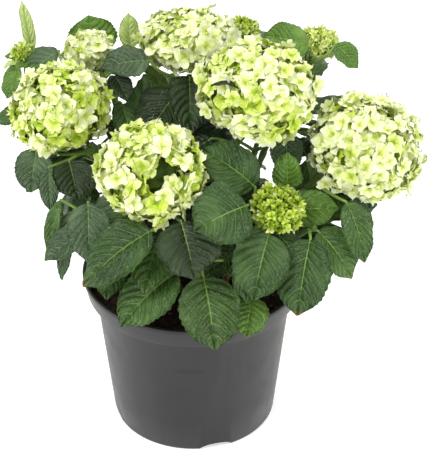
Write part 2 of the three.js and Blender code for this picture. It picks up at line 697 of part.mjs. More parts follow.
SHOOTS.forEach((shoot, s) => {
  const { line, mass, neck } = shoot;
  addMesh("cane-" + shoot.name, limbBetween(line, 0, mass, CANE_STEPS, CANE_SIDES), 0x7b6a45, 0.7);
  const stem = limbBetween(line, mass + gapShare(line, mass), neck, STEM_STEPS, STEM_SIDES);
  const leafy = leaves.filter((one) => one.shoot === shoot)
    .reduce((solid, leaf) => solid.add(toManifold(leafGeometry(leaf))), toManifold(stem));
  addMesh("leaves-" + shoot.name, toGeometry(leafy), 0x4b6b3c, 0.6);
  if (shoot.r) addMesh("head-" + shoot.name, toGeometry(headSolid(shoot, s)), 0xd6e39a, 0.75);
});

export default group;
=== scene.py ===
"""A hydrangea in its nursery pot: mophead flowers and broad, toothed leaves over dark compost.

The shoots and leaves stand where the model's solids have them: the same table of shoots and the same rule for
the leaves are worked out here again, in millimetres, and every mesh is made in metres.
"""

import math

import bpy
import numpy as np
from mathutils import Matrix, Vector
from mathutils.bvhtree import BVHTree


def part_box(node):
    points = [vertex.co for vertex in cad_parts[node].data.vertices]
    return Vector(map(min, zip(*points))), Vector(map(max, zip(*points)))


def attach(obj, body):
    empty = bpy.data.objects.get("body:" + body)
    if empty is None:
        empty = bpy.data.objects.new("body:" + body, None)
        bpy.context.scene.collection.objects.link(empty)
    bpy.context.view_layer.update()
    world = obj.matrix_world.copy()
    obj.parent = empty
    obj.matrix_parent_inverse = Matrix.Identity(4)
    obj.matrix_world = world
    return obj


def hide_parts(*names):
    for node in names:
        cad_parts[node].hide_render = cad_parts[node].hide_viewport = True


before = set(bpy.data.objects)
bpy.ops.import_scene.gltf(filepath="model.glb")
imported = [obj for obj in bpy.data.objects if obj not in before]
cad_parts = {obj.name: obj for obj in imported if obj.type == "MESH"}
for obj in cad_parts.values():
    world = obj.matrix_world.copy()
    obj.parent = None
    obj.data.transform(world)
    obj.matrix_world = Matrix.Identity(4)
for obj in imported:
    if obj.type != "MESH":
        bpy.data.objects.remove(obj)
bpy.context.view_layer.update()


MM = 0.001
UP = np.array([0.0, 0.0, 1.0])
GOLDEN_ANGLE = math.pi * (3 - math.sqrt(5))

# ------------------------------------------------------------------ sizes of the pot, in millimetres
POT_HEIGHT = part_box("pot")[1].z / MM
RIM_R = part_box("pot")[1].x / MM
SOIL_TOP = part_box("compost")[1].z / MM
POT_BOTTOM_R = 86
POT_BODY_TOP_R = 102.5
SHOULDER_Z = 152
BAND_BOTTOM_R = 111
LIP = 3

# ------------------------------------------------------------------ sizes of the shoots and leaves
# A shoot stands GAP above the compost and bows over a point LEAN of the way to its top. Its neck ends
# NECK_LENGTH below its head, and its last leaves sit LAST_NODE of its length below that. It tapers from
# CANE_R at the foot to STEM_R at TAPER_SHARE of its length and to NECK_R at the top.
GAP = 0.35
NECK_LENGTH = 4
NECK_STEP = 0.005
LAST_NODE = 0.015
CANE_R = 4.2
STEM_R = 3.1
NECK_R = 2.4
TAPER_SHARE = 0.42
LEAN = np.array([0.3, 0.3, 0.6])

# A leaf's stalk arches up by PETIOLE_ARCH of its reach. Its blade's edges stand EDGE_RISE of the half width
# above the midrib, less EDGE_CURL where they curl down again. The rest gives the blade's outline.
PETIOLE_R = 1.7
PETIOLE_ARCH = 0.08
EDGE_RISE = 0.22
EDGE_CURL = 0.1
BLADE_SKEW = 0.82
BLADE_FULLNESS = 0.72
BLADE_SLIMMING = 0.12
LEAST_BEND = 1e-3
BLADE_STATIONS = [0, 0.18, 0.46, 0.76, 1]

# The room a leaf needs from other leaves, stems, heads, the pot and its own head (for the stalk), and how
# near two leaves have to be for their blades, or their stalks, to be tested.
CLEAR = 3
STEM_CLEAR = 1.6
HEAD_CLEAR = 1.1
POT_CLEAR = 3
STALK_CLEAR = 3
TEST_STATIONS = [0, 0.09, 0.18, 0.3, 0.46, 0.6, 0.76, 0.88, 1]
PATH_STEPS = 12
NEAR_BLADES = 10
NEAR_STALKS = 80

# A leaf placed by rule: [least, spread] of each size, and by how much each further try changes it.
TRIES = 22
RULE_TURN = 24
RULE_TURN_TRY = 6
RULE_PITCH = [6, 30]
RULE_PITCH_TRY = 2
RULE_DROOP = [30, 34]
RULE_LENGTH = [0.84, 0.16]
RULE_LENGTH_TRY = 0.022
RULE_WIDTH = [0.6, 0.1]
RULE_ROLL = 40
RULE_REACH = [24, 12]
STALK_OUT = 0.86
STALK_UP = 0.5

# Daylight shows through the bush and beside it from the front: straight gaps run from EYE through points
# (x, z) of its middle plane, OPEN_REACH of the way to both sides, and no ruled leaf comes within OPEN_R.
EYE = np.array([22.0, -1518.0, 1192.0])
OPEN_REACH = 0.17
OPEN_R = 7
OPEN_AT = [
    (53, 327), (70, 316), (82, 294), (84, 280), (-82, 389), (-58, 391), (-196, 374), (-196, 357),
    (-164, 256), (-156, 243), (-159, 230), (-154, 210), (-119, 173), (-116, 159), (195, 244),
    (196, 217), (191, 195),
]

# Each shoot rises from its foot on the compost (x, y) to its top (x, y, z).
# mass is the share of its length where the cane ends and the leafy part begins.
# r is the head's radius and flat its height against its width, florets how many crests its solid has.
# pairs are the shares that carry an opposite pair of leaves, turn the first pair's direction in degrees
# and blade the length of the biggest leaf.
SHOOT_SIZES = [
    dict(name="left", foot=(-34, 8), top=(-134, 30, 346), mass=0.26,
         r=53, flat=0.86, florets=76, pairs=(0.3, 0.44, 0.56, 0.68, 0.79), turn=20, blade=110),
    dict(name="upper-left", foot=(-30, 38), top=(-108, 107, 372), mass=0.42,
         r=26, flat=0.7, florets=44, pairs=(0.48, 0.6, 0.72, 0.85), turn=75, blade=105),
    dict(name="crown", foot=(-4, 44), top=(-4, 104, 384), mass=0.42,
         r=53, flat=0.62, florets=76, pairs=(0.48, 0.6, 0.71, 0.81), turn=10, blade=120),
    dict(name="middle", foot=(16, 0), top=(64, -10, 388), mass=0.38,
         r=60, flat=0.8, florets=84, pairs=(0.42, 0.54, 0.66, 0.78), turn=60, blade=115),
    dict(name="right", foot=(46, 4), top=(172, -10, 324), mass=0.26,
         r=60, flat=0.86, florets=84, pairs=(0.3, 0.44, 0.56, 0.68, 0.79), turn=30, blade=110),
    dict(name="front", foot=(-16, -26), top=(-38, -74, 334), mass=0.38,
         r=54, flat=0.86, florets=76, pairs=(0.42, 0.55, 0.67, 0.78), turn=100, blade=90),
    dict(name="green", foot=(28, -34), top=(84, -74, 292), mass=0.38,
         r=27, flat=0.74, florets=44, pairs=(0.48, 0.64), turn=65, blade=80),
    dict(name="upper-right", foot=(40, 38), top=(130, 104, 382), mass=0.42,
         r=20, flat=0.74, florets=34, pairs=(0.46, 0.58, 0.7), turn=80, blade=105),
    dict(name="far-left", foot=(-58, 34), top=(-178, 118, 364), mass=0.42,
         r=10, flat=0.8, florets=20, pairs=(0.48, 0.62, 0.74), turn=60, blade=85),
    dict(name="behind", foot=(18, 52), top=(52, 160, 369), mass=0.42,
         r=17, flat=0.74, florets=30, pairs=(0.46, 0.58, 0.7), turn=60, blade=105),
    dict(name="back-right", foot=(46, 62), top=(84, 174, 286), mass=0.28,
         r=50, flat=0.84, florets=70, pairs=(0.32, 0.46, 0.61, 0.75), turn=0, blade=95),
    dict(name="back", foot=(-12, 68), top=(-34, 172, 262), mass=0.28,
         r=40, flat=0.84, florets=60, pairs=(0.32, 0.46, 0.61, 0.75), turn=20, blade=90),
    dict(name="back-left", foot=(-50, 56), top=(-146, 136, 286), mass=0.28,
         r=44, flat=0.84, florets=60, pairs=(0.32, 0.46, 0.61, 0.75), turn=50, blade=95),
    dict(name="low-front", foot=(4, -56), top=(8, -84, 246), mass=0.5,
         pairs=(0.7,), turn=0, blade=60),
    dict(name="low-left", foot=(-52, -22), top=(-102, -50, 262), mass=0.42,
         pairs=(0.5, 0.7), turn=85, blade=70),
    dict(name="low-right", foot=(58, -26), top=(120, -70, 268), mass=0.28,
         pairs=(0.34, 0.5, 0.7), turn=100, blade=80),
    dict(name="side-right", foot=(76, 24), top=(132, 52, 232), mass=0.28,
         pairs=(0.34, 0.6, 0.9), turn=20, blade=95),
    dict(name="side-left", foot=(-78, 10), top=(-114, 46, 236), mass=0.28,
         pairs=(0.34, 0.6, 0.9), turn=100, blade=75),
    dict(name="low-back", foot=(22, 86), top=(26, 122, 232), mass=0.28,
         pairs=(0.34, 0.6, 0.9), turn=0, blade=95),
]

# The leaves that show in front are set one by one: the shoot, the tint, the share along the shoot, where the
# blade begins (x, y, z), its turn, pitch and droop in degrees, its length and width, and its roll in degrees.
# Of these tints, the grey one is a painted sheen and the darkest is painted shade.
SET_LEAVES = [
    ("front", "deep", 0.7, -37, -116, 294, -169, -27, 25, 90, 56, -28),
    ("front", "dusk", 0.79, -10, -112, 302, -66, -44, 25, 58, 70, 0),
    ("front", "grey", 0.66, -70, -40, 292, -120, -56, 20, 50, 46, -10),
    ("low-front", "mid", 0.9, -14, -98, 234, -151, -18, 35, 78, 56, -30),
    ("low-front", "warm", 0.86, 11, -100, 230, -75, -34, 40, 74, 66, 0),
    ("low-right", "fresh", 0.46, 59, -86, 195, -100, -21, 40, 42, 42, 0),
    ("green", "deep", 0.74, 62, -54, 304, 177, 46, 15, 68, 52, -46),
    ("green", "deep", 0.78, 54, -90, 306, -144, 2, 15, 64, 66, -38),
    ("green", "deep", 0.84, 75, -92, 275, -112, -38, 30, 68, 60, -8),
    ("low-right", "deep", 0.93, 115, -92, 269, -108, -44, 30, 77, 59, 0),
    ("low-right", "mid", 0.9, 123, -70, 264, -30, -33, 30, 60, 46, 26),
    ("right", "mid", 0.8, 150, -68, 296, -42, -52, 30, 66, 34, 24),
    ("green", "fresh", 0.88, 94, -38, 290, 80, 97, 6, 46, 32, 0),
    ("green", "fresh", 0.8, 91, -41, 267, -12, 19, 14, 56, 43, 34),
    ("upper-right", "fresh", 0.9, 118, 84, 387, -170, 28, 15, 50, 40, -42),
    ("upper-right", "fresh", 0.9, 145, 88, 388, -27, -29, 20, 34, 27, 24),
    ("far-left", "light", 0.88, -169, 133, 355, 128, 74, 0, 57, 17, 0),
    ("far-left", "fresh", 0.88, -182, 112, 354, -142, -56, 20, 40, 24, -16),
    ("upper-left", "grey", 0.9, -138, 98, 376, -172, -30, 25, 52, 40, -20),
    ("upper-left", "fresh", 0.88, -106, 144, 346, 110, 80, 20, 44, 60, 0),
    ("upper-left", "light", 0.86, -66, 130, 362, 100, 78, 10, 38, 24, 0),
    ("crown", "grey", 0.84, -43, 64, 382, -168, 6, 20, 50, 40, -26),
    ("crown", "dusk", 0.8, -12, 66, 350, -128, -20, 24, 66, 66, 0),
    ("left", "grey", 0.76, -158, 24, 303, -104, -44, 26, 46, 42, 0),
    ("left", "grey", 0.74, -143, -12, 302, -90, -55, 30, 44, 22, 0),
    ("left", "dusk", 0.7, -122, -20, 314, -74, -22, 24, 44, 44, 0),
    ("low-left", "mid", 0.86, -132, -30, 275, -131, -59, 30, 66, 20, 0),
    ("low-left", "grey", 0.8, -119, -30, 263, -126, -58, 30, 77, 24, 0),
    ("low-left", "grey", 0.94, -100, -80, 303, -88, -55, 30, 62, 44, 0),
    ("green", "deep", 0.5, 45, -66, 238, -160, -22, 16, 44, 36, -20),
    ("middle", "grey", 0.78, 92, -5, 338, -80, -60, 14, 42, 36, 6),
    ("low-right", "deep", 0.8, 104, -8, 250, -66, -28, 24, 46, 36, 0),
]

# The usual tint of the other leaves, on shoots where it isn't deep green, and how many of them are odd ones.
# The grey tint of the left shoots is a painted sheen, and the darkest tint, on the crown and middle shoots
# that lie among the heads, is painted shade.
SHOOT_TINTS = {
    "left": "grey", "far-left": "mid", "upper-left": "mid", "low-left": "grey", "low-front": "warm",
    "side-left": "grey", "upper-right": "mid", "side-right": "mid", "low-back": "mid", "crown": "dusk",
    "middle": "dusk",
}
ODD_LEAVES = 0.28

# ------------------------------------------------------------------ the layout: shoots
def wobble(k):
    """A repeatable number from 0 to 1 for a whole number k."""
    s = math.sin(k * 12.9898 + 78.233) * 43758.5453
    return s - math.floor(s)


def vary(seed, least, spread):
    """A repeatable size from least to least + spread."""
    return least + spread * wobble(seed)


def nudge(seed):
    """A repeatable push: three numbers from -0.5 to 0.5."""
    return np.array([wobble(seed + n) - 0.5 for n in range(3)])


def unit(vectors):
    """Vectors of length one, along the last axis."""
    vectors = np.asarray(vectors, float)
    return vectors / np.maximum(np.linalg.norm(vectors, axis=-1, keepdims=True), 1e-9)


def heading(degrees):
    """The level direction at so many degrees from +X."""
    angle = math.radians(degrees)
    return np.array([math.cos(angle), math.sin(angle), 0])


class Shoot:
    """One shoot: its bowed centre line from foot (0) to top (1), and the flower head on it, if it has one."""

    def __init__(self, number, name, foot, top, mass, pairs, turn, blade, r=0, flat=1, florets=0):
        self.number, self.name, self.mass = number, name, mass
        self.pairs, self.turn, self.blade = pairs, turn, blade
        self.r, self.flat, self.florets = r, flat, florets
        self.foot = np.array([foot[0], foot[1], SOIL_TOP + GAP])
        self.centre = np.array(top, float)
        self.bend = self.foot + (self.centre - self.foot) * LEAN
        self.axis = unit(self.along(1.0) * 0.5 + UP * 0.5)
        self.neck = 1.0
        while self.holds(self.at(self.neck), NECK_LENGTH):
            self.neck -= NECK_STEP
        self.path = self.at(np.linspace(0, 1, PATH_STEPS + 1))

    def at(self, share):
        t = np.asarray(share, float)[..., None]
        return (1 - t) ** 2 * self.foot + 2 * (1 - t) * t * self.bend + t ** 2 * self.centre

    def along(self, share):
        t = np.asarray(share, float)[..., None]
        return unit((1 - t) * (self.bend - self.foot) + t * (self.centre - self.bend))

    def radius(self, share):
        low = CANE_R - (CANE_R - STEM_R) * share / TAPER_SHARE
        high = STEM_R - (STEM_R - NECK_R) * (share - TAPER_SHARE) / (1 - TAPER_SHARE)
        return np.where(share < TAPER_SHARE, low, high)

    def holds(self, points, margin):
        """Whether each point lies in the flower head, or nearer to it than margin."""
        if not self.r:
            return np.zeros(np.shape(points)[:-1], bool)
        local = points - self.centre
        high = local @ self.axis
        wide2 = np.maximum((local ** 2).sum(-1) - high ** 2, 0)
        r = self.r + margin
        return wide2 / r ** 2 + (high / (r * self.flat)) ** 2 < 1

    def leaf_root(self, share):
        return self.at(min(share, self.neck - LAST_NODE))


# ------------------------------------------------------------------ the layout: leaves
def blade_shape(u):
    """Half width of a blade against its greatest half width, from the stalk (0) to the tip (1)."""
    s = np.maximum(np.sin(math.pi * np.clip(u, 0, 1) ** BLADE_SKEW), 0)
    return s ** BLADE_FULLNESS * (1 - BLADE_SLIMMING * u)


class Leaf:
    """One leaf: a stalk from its shoot, and a blade that bends down along an arc."""

    def __init__(self, shoot, share, base, turn, pitch, droop, length, width, roll, tint):
        self.shoot, self.length, self.width, self.tint = shoot, length, width, tint
        self.root = shoot.leaf_root(share)
        self.base = np.array(base, float)
        self.pitch, self.roll, self.bend = math.radians(pitch), math.radians(roll), -math.radians(droop)
        self.out = heading(turn)
        self.aside = np.array([-self.out[1], self.out[0], 0])
        self.stalk_path = self.find_stalk_path()
        starts, ways = self.stalk_path[:-1], np.diff(self.stalk_path, axis=0)
        self.stalk = np.array([a + way * n / 3 for a, way in zip(starts, ways) for n in (1, 2, 3)])
        self.middle = self.rib(np.array(0.5))

    def rib(self, u):
        now = self.pitch + self.bend * u
        if abs(self.bend) < LEAST_BEND:
            out, rise = u * math.cos(self.pitch), u * math.sin(self.pitch)
        else:
            out = (np.sin(now) - math.sin(self.pitch)) / self.bend
            rise = (math.cos(self.pitch) - np.cos(now)) / self.bend
        return self.base + self.length * (out[..., None] * self.out + rise[..., None] * UP)

    def frame(self, u):
        """The blade's directions sideways and upwards at u."""
        now = (self.pitch + self.bend * np.asarray(u, float))[..., None]
        tangent = np.cos(now) * self.out + np.sin(now) * UP
        up = np.cross(tangent, self.aside)
        side = self.aside * math.cos(self.roll) + up * math.sin(self.roll)
        return side, np.cross(tangent, side)

    def surface(self, u, v, lift=0.0):
        """Points of the blade: u from stalk to tip, v from edge to edge (-1 to 1), raised by lift."""
        half = self.width / 2 * blade_shape(u)
        side, normal = self.frame(u)
        rise = EDGE_RISE * np.abs(v) * half - EDGE_CURL * v * v * half + lift
        return self.rib(u) + side * (v * half)[..., None] + normal * rise[..., None]

    def sheet(self, stations, lift=0.0):
        u, v = np.meshgrid(np.array(stations, float), [-1.0, 0.0, 1.0], indexing="ij")
        return self.surface(u.ravel(), v.ravel(), lift)

    def find_stalk_path(self):
        reach = np.linalg.norm(self.base - self.root)
        half = (self.root + self.base) / 2 + UP * PETIOLE_ARCH * reach
        out = unit(half - self.shoot.centre)
        while self.shoot.holds(half, PETIOLE_R + STALK_CLEAR):
            half = half + out
        return np.array([self.root, half, self.base])

    def survey(self):
        """Keeps what the clearance tests look at."""
        self.layers = tree_of([self.sheet(BLADE_STATIONS, lift) for lift in (-CLEAR, 0, CLEAR)])
        self.skin = tree_of([self.sheet(BLADE_STATIONS)])
        self.points = self.sheet(BLADE_STATIONS)
        return self


def sheet_faces(start):
    """The triangles of one sheet of three points a row, its corners numbered from start."""
    faces = []
    for i in range(len(BLADE_STATIONS) - 1):
        for j in range(2):
            a = start + 3 * i + j
            faces += [(a, a + 1, a + 4), (a, a + 4, a + 3)]
    return faces


def tree_of(sheets):
    """A search tree of the triangles of some sheets."""
    size = 3 * len(BLADE_STATIONS)
    faces = [face for n in range(len(sheets)) for face in sheet_faces(n * size)]
    return BVHTree.FromPolygons(np.concatenate(sheets).tolist(), faces, all_triangles=True)


def path_hits(path, tree):
    """Whether a path runs through a face of the tree."""
    for a, b in zip(path, path[1:]):
        way = Vector(b - a)
        if tree.ray_cast(Vector(a), way, way.length)[0] is not None:
            return True
    return False


def distance_to_path(points, path):
    """The distance of each point from a path."""
    a, way = path[:-1], path[1:] - path[:-1]
    from_start = points[:, None, :] - a
    t = np.clip((from_start * way).sum(-1) / (way ** 2).sum(-1), 0, 1)
    return np.linalg.norm(from_start - t[..., None] * way, axis=-1).min(1)


def in_pot(points):
    """Whether each point lies in the pot's rim or in the compost, or nearly so."""
    up = (points[:, 2] - SHOULDER_Z) / (POT_HEIGHT - SHOULDER_Z)
    wall = np.where(up > 0, BAND_BOTTOM_R + (RIM_R - BAND_BOTTOM_R) * up, POT_BODY_TOP_R)
    out = np.hypot(points[:, 0], points[:, 1])
    near_wall = np.abs(out - wall + LIP / 2) < POT_CLEAR + LIP / 2
    in_rim = (points[:, 2] < POT_HEIGHT + POT_CLEAR) & near_wall
    return in_rim | ((points[:, 2] < SOIL_TOP + POT_CLEAR) & (out < wall))


def clear_of_shoot(leaf, points, thick, shoot):
    """Whether a leaf, with thick as its blade made thicker, keeps clear of a shoot and its head."""
    if shoot.holds(points, HEAD_CLEAR).any() or shoot.holds(leaf.stalk, PETIOLE_R).any():
        return False
    if distance_to_path(points, shoot.path).min() < CANE_R + STEM_CLEAR:
        return False
    if path_hits(shoot.path, thick):
        return False
    if shoot is leaf.shoot:
        return True
    return distance_to_path(leaf.stalk, shoot.path).min() >= CANE_R + PETIOLE_R + STEM_CLEAR


def clear_of_leaf(leaf, points, other):
    """Whether the blades and stalks of two leaves keep clear of each other."""
    apart = np.linalg.norm(other.middle - leaf.middle) - (other.length + leaf.length) / 2
    if apart < NEAR_BLADES and leaf.layers.overlap(other.skin):
        return False
    if apart > NEAR_STALKS:
        return True
    if path_hits(leaf.stalk_path, other.layers) or path_hits(other.stalk_path, leaf.layers):
        return False
    if other.shoot is leaf.shoot:
        return True
    if distance_to_path(leaf.stalk, other.stalk_path).min() < 2 * PETIOLE_R + STEM_CLEAR:
        return False
    if distance_to_path(points, other.stalk_path).min() < PETIOLE_R + CLEAR:
        return False
    between = np.linalg.norm(leaf.stalk[:, None] - other.points, axis=-1)
    return between.min() >= PETIOLE_R + CLEAR


def leaves_open(leaf, points, gap):
    """Whether a leaf stays out of a straight gap for daylight."""
    return not path_hits(gap, leaf.layers) and distance_to_path(points, gap).min() >= OPEN_R


def is_clear(leaf, placed):
    """Whether a leaf keeps clear of the pot, the shoots, the gaps for daylight and the leaves placed."""
    points = leaf.sheet(TEST_STATIONS)
    if in_pot(points).any():
        return False
    thick = tree_of([leaf.sheet(BLADE_STATIONS, lift) for lift in (-CANE_R, 0, CANE_R)])
    if not all(clear_of_shoot(leaf, points, thick, shoot) for shoot in SHOOTS):
        return False
    leaf.survey()
    if not all(leaves_open(leaf, points, gap) for gap in OPENINGS):
        return False
    return all(clear_of_leaf(leaf, points, other) for other in placed)


def ruled_leaf(shoot, i, half, k):
    """The leaf of one side (half 0 or 1) of pair i on a shoot, as the rule has it at try k."""
    seed = 1000 * shoot.number + 100 * i + 50 * half + k
    lean = (wobble(seed) - 0.5) * (RULE_TURN + RULE_TURN_TRY * k)
    turn = shoot.turn + 90 * i + 180 * half + lean
    pitch = RULE_PITCH[0] + RULE_PITCH[1] * (1 - wobble(seed + 7)) - RULE_PITCH_TRY * k
    droop = vary(seed + 11, *RULE_DROOP)
    length = shoot.blade * vary(seed + 17, *RULE_LENGTH) * (1 - RULE_LENGTH_TRY * k)
    width = length * vary(seed + 23, *RULE_WIDTH)
    roll = (wobble(seed + 29) - 0.5) * RULE_ROLL
    reach = vary(seed + 31, *RULE_REACH)
    base = shoot.leaf_root(shoot.pairs[i]) + reach * (heading(turn) * STALK_OUT + UP * STALK_UP)
    return Leaf(shoot, shoot.pairs[i], base, turn, pitch, droop, length, width, roll, "")


def ruled_tint(shoot, number):
    """The shoot's usual tint, and now and then another."""
    usual = SHOOT_TINTS.get(shoot.name, "deep")
    if wobble(number * 3 + 5) < ODD_LEAVES:
        return "mid" if usual == "deep" else "deep"
    return usual


def set_leaf(name, tint, share, x, y, z, *sizes):
    """The leaf of one row of a table."""
    return Leaf(SHOOT_NAMED[name], share, (x, y, z), *sizes, tint)


def place_leaves():
    """The leaves set one by one, and then opposite pairs, each turned a quarter from the one below."""
    placed = [set_leaf(*row).survey() for row in SET_LEAVES]
    for shoot in SHOOTS:
        for i in range(len(shoot.pairs)):
            for half in (0, 1):
                tries = (ruled_leaf(shoot, i, half, k) for k in range(TRIES))
                found = next((leaf for leaf in tries if is_clear(leaf, placed)), None)
                if found:
                    found.tint = ruled_tint(shoot, len(placed))
                    placed.append(found)
    return placed


def opening(x, z):
    """The straight gap for daylight through a point of the bush's middle plane."""
    middle = np.array([x, 0.0, z])
    return np.array([middle + (EYE - middle) * share for share in (OPEN_REACH, -OPEN_REACH)])


OPENINGS = [opening(x, z) for x, z in OPEN_AT]
SHOOTS = [Shoot(number, **entry) for number, entry in enumerate(SHOOT_SIZES)]
SHOOT_NAMED = {shoot.name: shoot for shoot in SHOOTS}
LEAVES = place_leaves()


# ------------------------------------------------------------------ modelling helpers
# Directions that no path or axis here runs along, to start the way round it from.
TUBE_SIDE = [1.0, 0.2, 0.1]
TURN_SIDE = [0.31, 0.47, 0.83]


def start_clean():
    """Leaves edit mode and selects nothing, so that the next operator acts on its own piece alone."""
    if bpy.context.object and bpy.context.object.mode != "OBJECT":
        bpy.ops.object.mode_set(mode="OBJECT")
    bpy.ops.object.select_all(action="DESELECT")


def select_where(test):
    """In edit mode, selects the vertices whose place passes the test."""
    bpy.ops.object.mode_set(mode="EDIT")
    bpy.ops.mesh.select_mode(type="VERT")
    bpy.ops.mesh.select_all(action="DESELECT")
    bpy.ops.object.mode_set(mode="OBJECT")
    vertices = bpy.context.object.data.vertices
    vertices.foreach_set("select", [test(v.co) for v in vertices])
    bpy.ops.object.mode_set(mode="EDIT")


def select_all():
    """In edit mode, selects the whole piece."""
    bpy.ops.object.mode_set(mode="EDIT")
    bpy.ops.mesh.select_all(action="SELECT")


def extrude_by(rise):
    """Extrudes what is selected upwards by rise, in metres."""
    bpy.ops.mesh.extrude_region_move(TRANSFORM_OT_translate={"value": (0, 0, rise)})


def widen_by(factor, height):
    """Scales what is selected level, about the pot's axis at a height in metres."""
    bpy.ops.transform.resize(value=(factor, factor, 1), center_override=(0, 0, height))


def apply_modifier(piece, kind, name, **settings):
    """Shapes a piece with a modifier."""
    modifier = piece.modifiers.new(name, kind)
    for key, value in settings.items():
        setattr(modifier, key, value)
    bpy.context.view_layer.objects.active = piece
    bpy.ops.object.modifier_apply(modifier=name)


def take_shape(piece):
    """The points and faces of a modelled shape, which is then removed."""
    points = np.array([v.co for v in piece.data.vertices], float).reshape(-1, 3)
    faces = [tuple(f.vertices) for f in piece.data.polygons]
    bpy.data.objects.remove(piece)
    return points, faces


class Parts:
    """Copies of shapes, gathered to be joined into one piece."""

    def __init__(self):
        self.points, self.faces, self.tints, self.count = [], [], [], 0

    def add(self, points, faces, tints):
        """Points in millimetres, faces as corner numbers, and one tint or a tint for each face."""
        self.points.append(points)
        self.faces += [tuple(corner + self.count for corner in face) for face in faces]
        self.tints += [tints] * len(faces) if isinstance(tints, str) else tints
        self.count += len(points)

    def join(self, name, finishes, slot, nodes=()):
        """Makes the piece, gives it the finishes that its tints name and puts it in place of CAD nodes."""
        mesh = bpy.data.meshes.new(name)
        mesh.from_pydata((np.concatenate(self.points) * MM).tolist(), [], self.faces)
        used = sorted(set(self.tints))
        for tint in used:
            mesh.materials.append(finishes[tint])
        number = {tint: i for i, tint in enumerate(used)}
        mesh.polygons.foreach_set("material_index", [number[tint] for tint in self.tints])
        mesh.polygons.foreach_set("use_smooth", [True] * len(self.faces))
        mesh.update()
        piece = bpy.data.objects.new(name, mesh)
        bpy.context.scene.collection.objects.link(piece)
        settle(piece, nodes)


def settle(piece, nodes):
    """Fixes a finished piece to the plant, in place of the CAD nodes that it stands for."""
    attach(piece, "root")
    if nodes:
        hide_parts(*nodes)


def tube(points, radii, sides):
    """A closed tube along a path, each ring square to it."""
    points, radii = np.asarray(points, float), np.broadcast_to(radii, len(points))
    ways = unit(np.gradient(points, axis=0))
    across = unit(np.cross(TUBE_SIDE, ways[0]))
    angles = 2 * math.pi * np.arange(sides) / sides
    rings = []
    for point, way, radius in zip(points, ways, radii):
        across = unit(across - way * (across @ way))
        up = np.cross(way, across)
        rings.append(point + radius * (np.cos(angles)[:, None] * across + np.sin(angles)[:, None] * up))
    faces = []
    for i in range(len(points) - 1):
        for j in range(sides):
            a, b = i * sides + j, i * sides + (j + 1) % sides
            faces.append((a, b, b + sides, a + sides))
    last = (len(points) - 1) * sides
    faces += [tuple(reversed(range(sides))), tuple(range(last, last + sides))]
    return np.concatenate(rings), faces


def bow(path, steps):
    """Points along the smooth bow through the three points of a path."""
    start, middle, end = path
    pull = 2 * middle - (start + end) / 2
    t = np.linspace(0, 1, steps + 1)[:, None]
    return (1 - t) ** 2 * start + 2 * (1 - t) * t * pull + t ** 2 * end


def turned_to(axis, spin):
    """Three directions with the last along axis, turned about it by spin."""
    side = unit(np.cross(axis, TURN_SIDE))
    first = math.cos(spin) * side + math.sin(spin) * np.cross(axis, side)
    return np.array([first, np.cross(axis, first), axis])


def clouds(name, size, depth=2):
    """A cloudy pattern for a displacement, size in metres."""
    texture = bpy.data.textures.new(name, "CLOUDS")
    texture.noise_scale, texture.noise_depth = size, depth
    return texture


# ------------------------------------------------------------------ finishes
NOISE_ROUGHNESS = 0.55


def colour(red, green, blue):
    """A colour from its screen values (0 to 255)."""
    def linear(value):
        value /= 255
        return value / 12.92 if value <= 0.04045 else ((value + 0.055) / 1.055) ** 2.4
    return (linear(red), linear(green), linear(blue), 1.0)


def shade(tone, factor):
    """A tone made darker, or lighter, by a factor."""
    return tuple(min(channel * factor, 1.0) for channel in tone[:3]) + (1.0,)


def blend(tone, other, share):
    """A tone with a share of another in it."""
    return tuple(a + (b - a) * share for a, b in zip(tone, other))


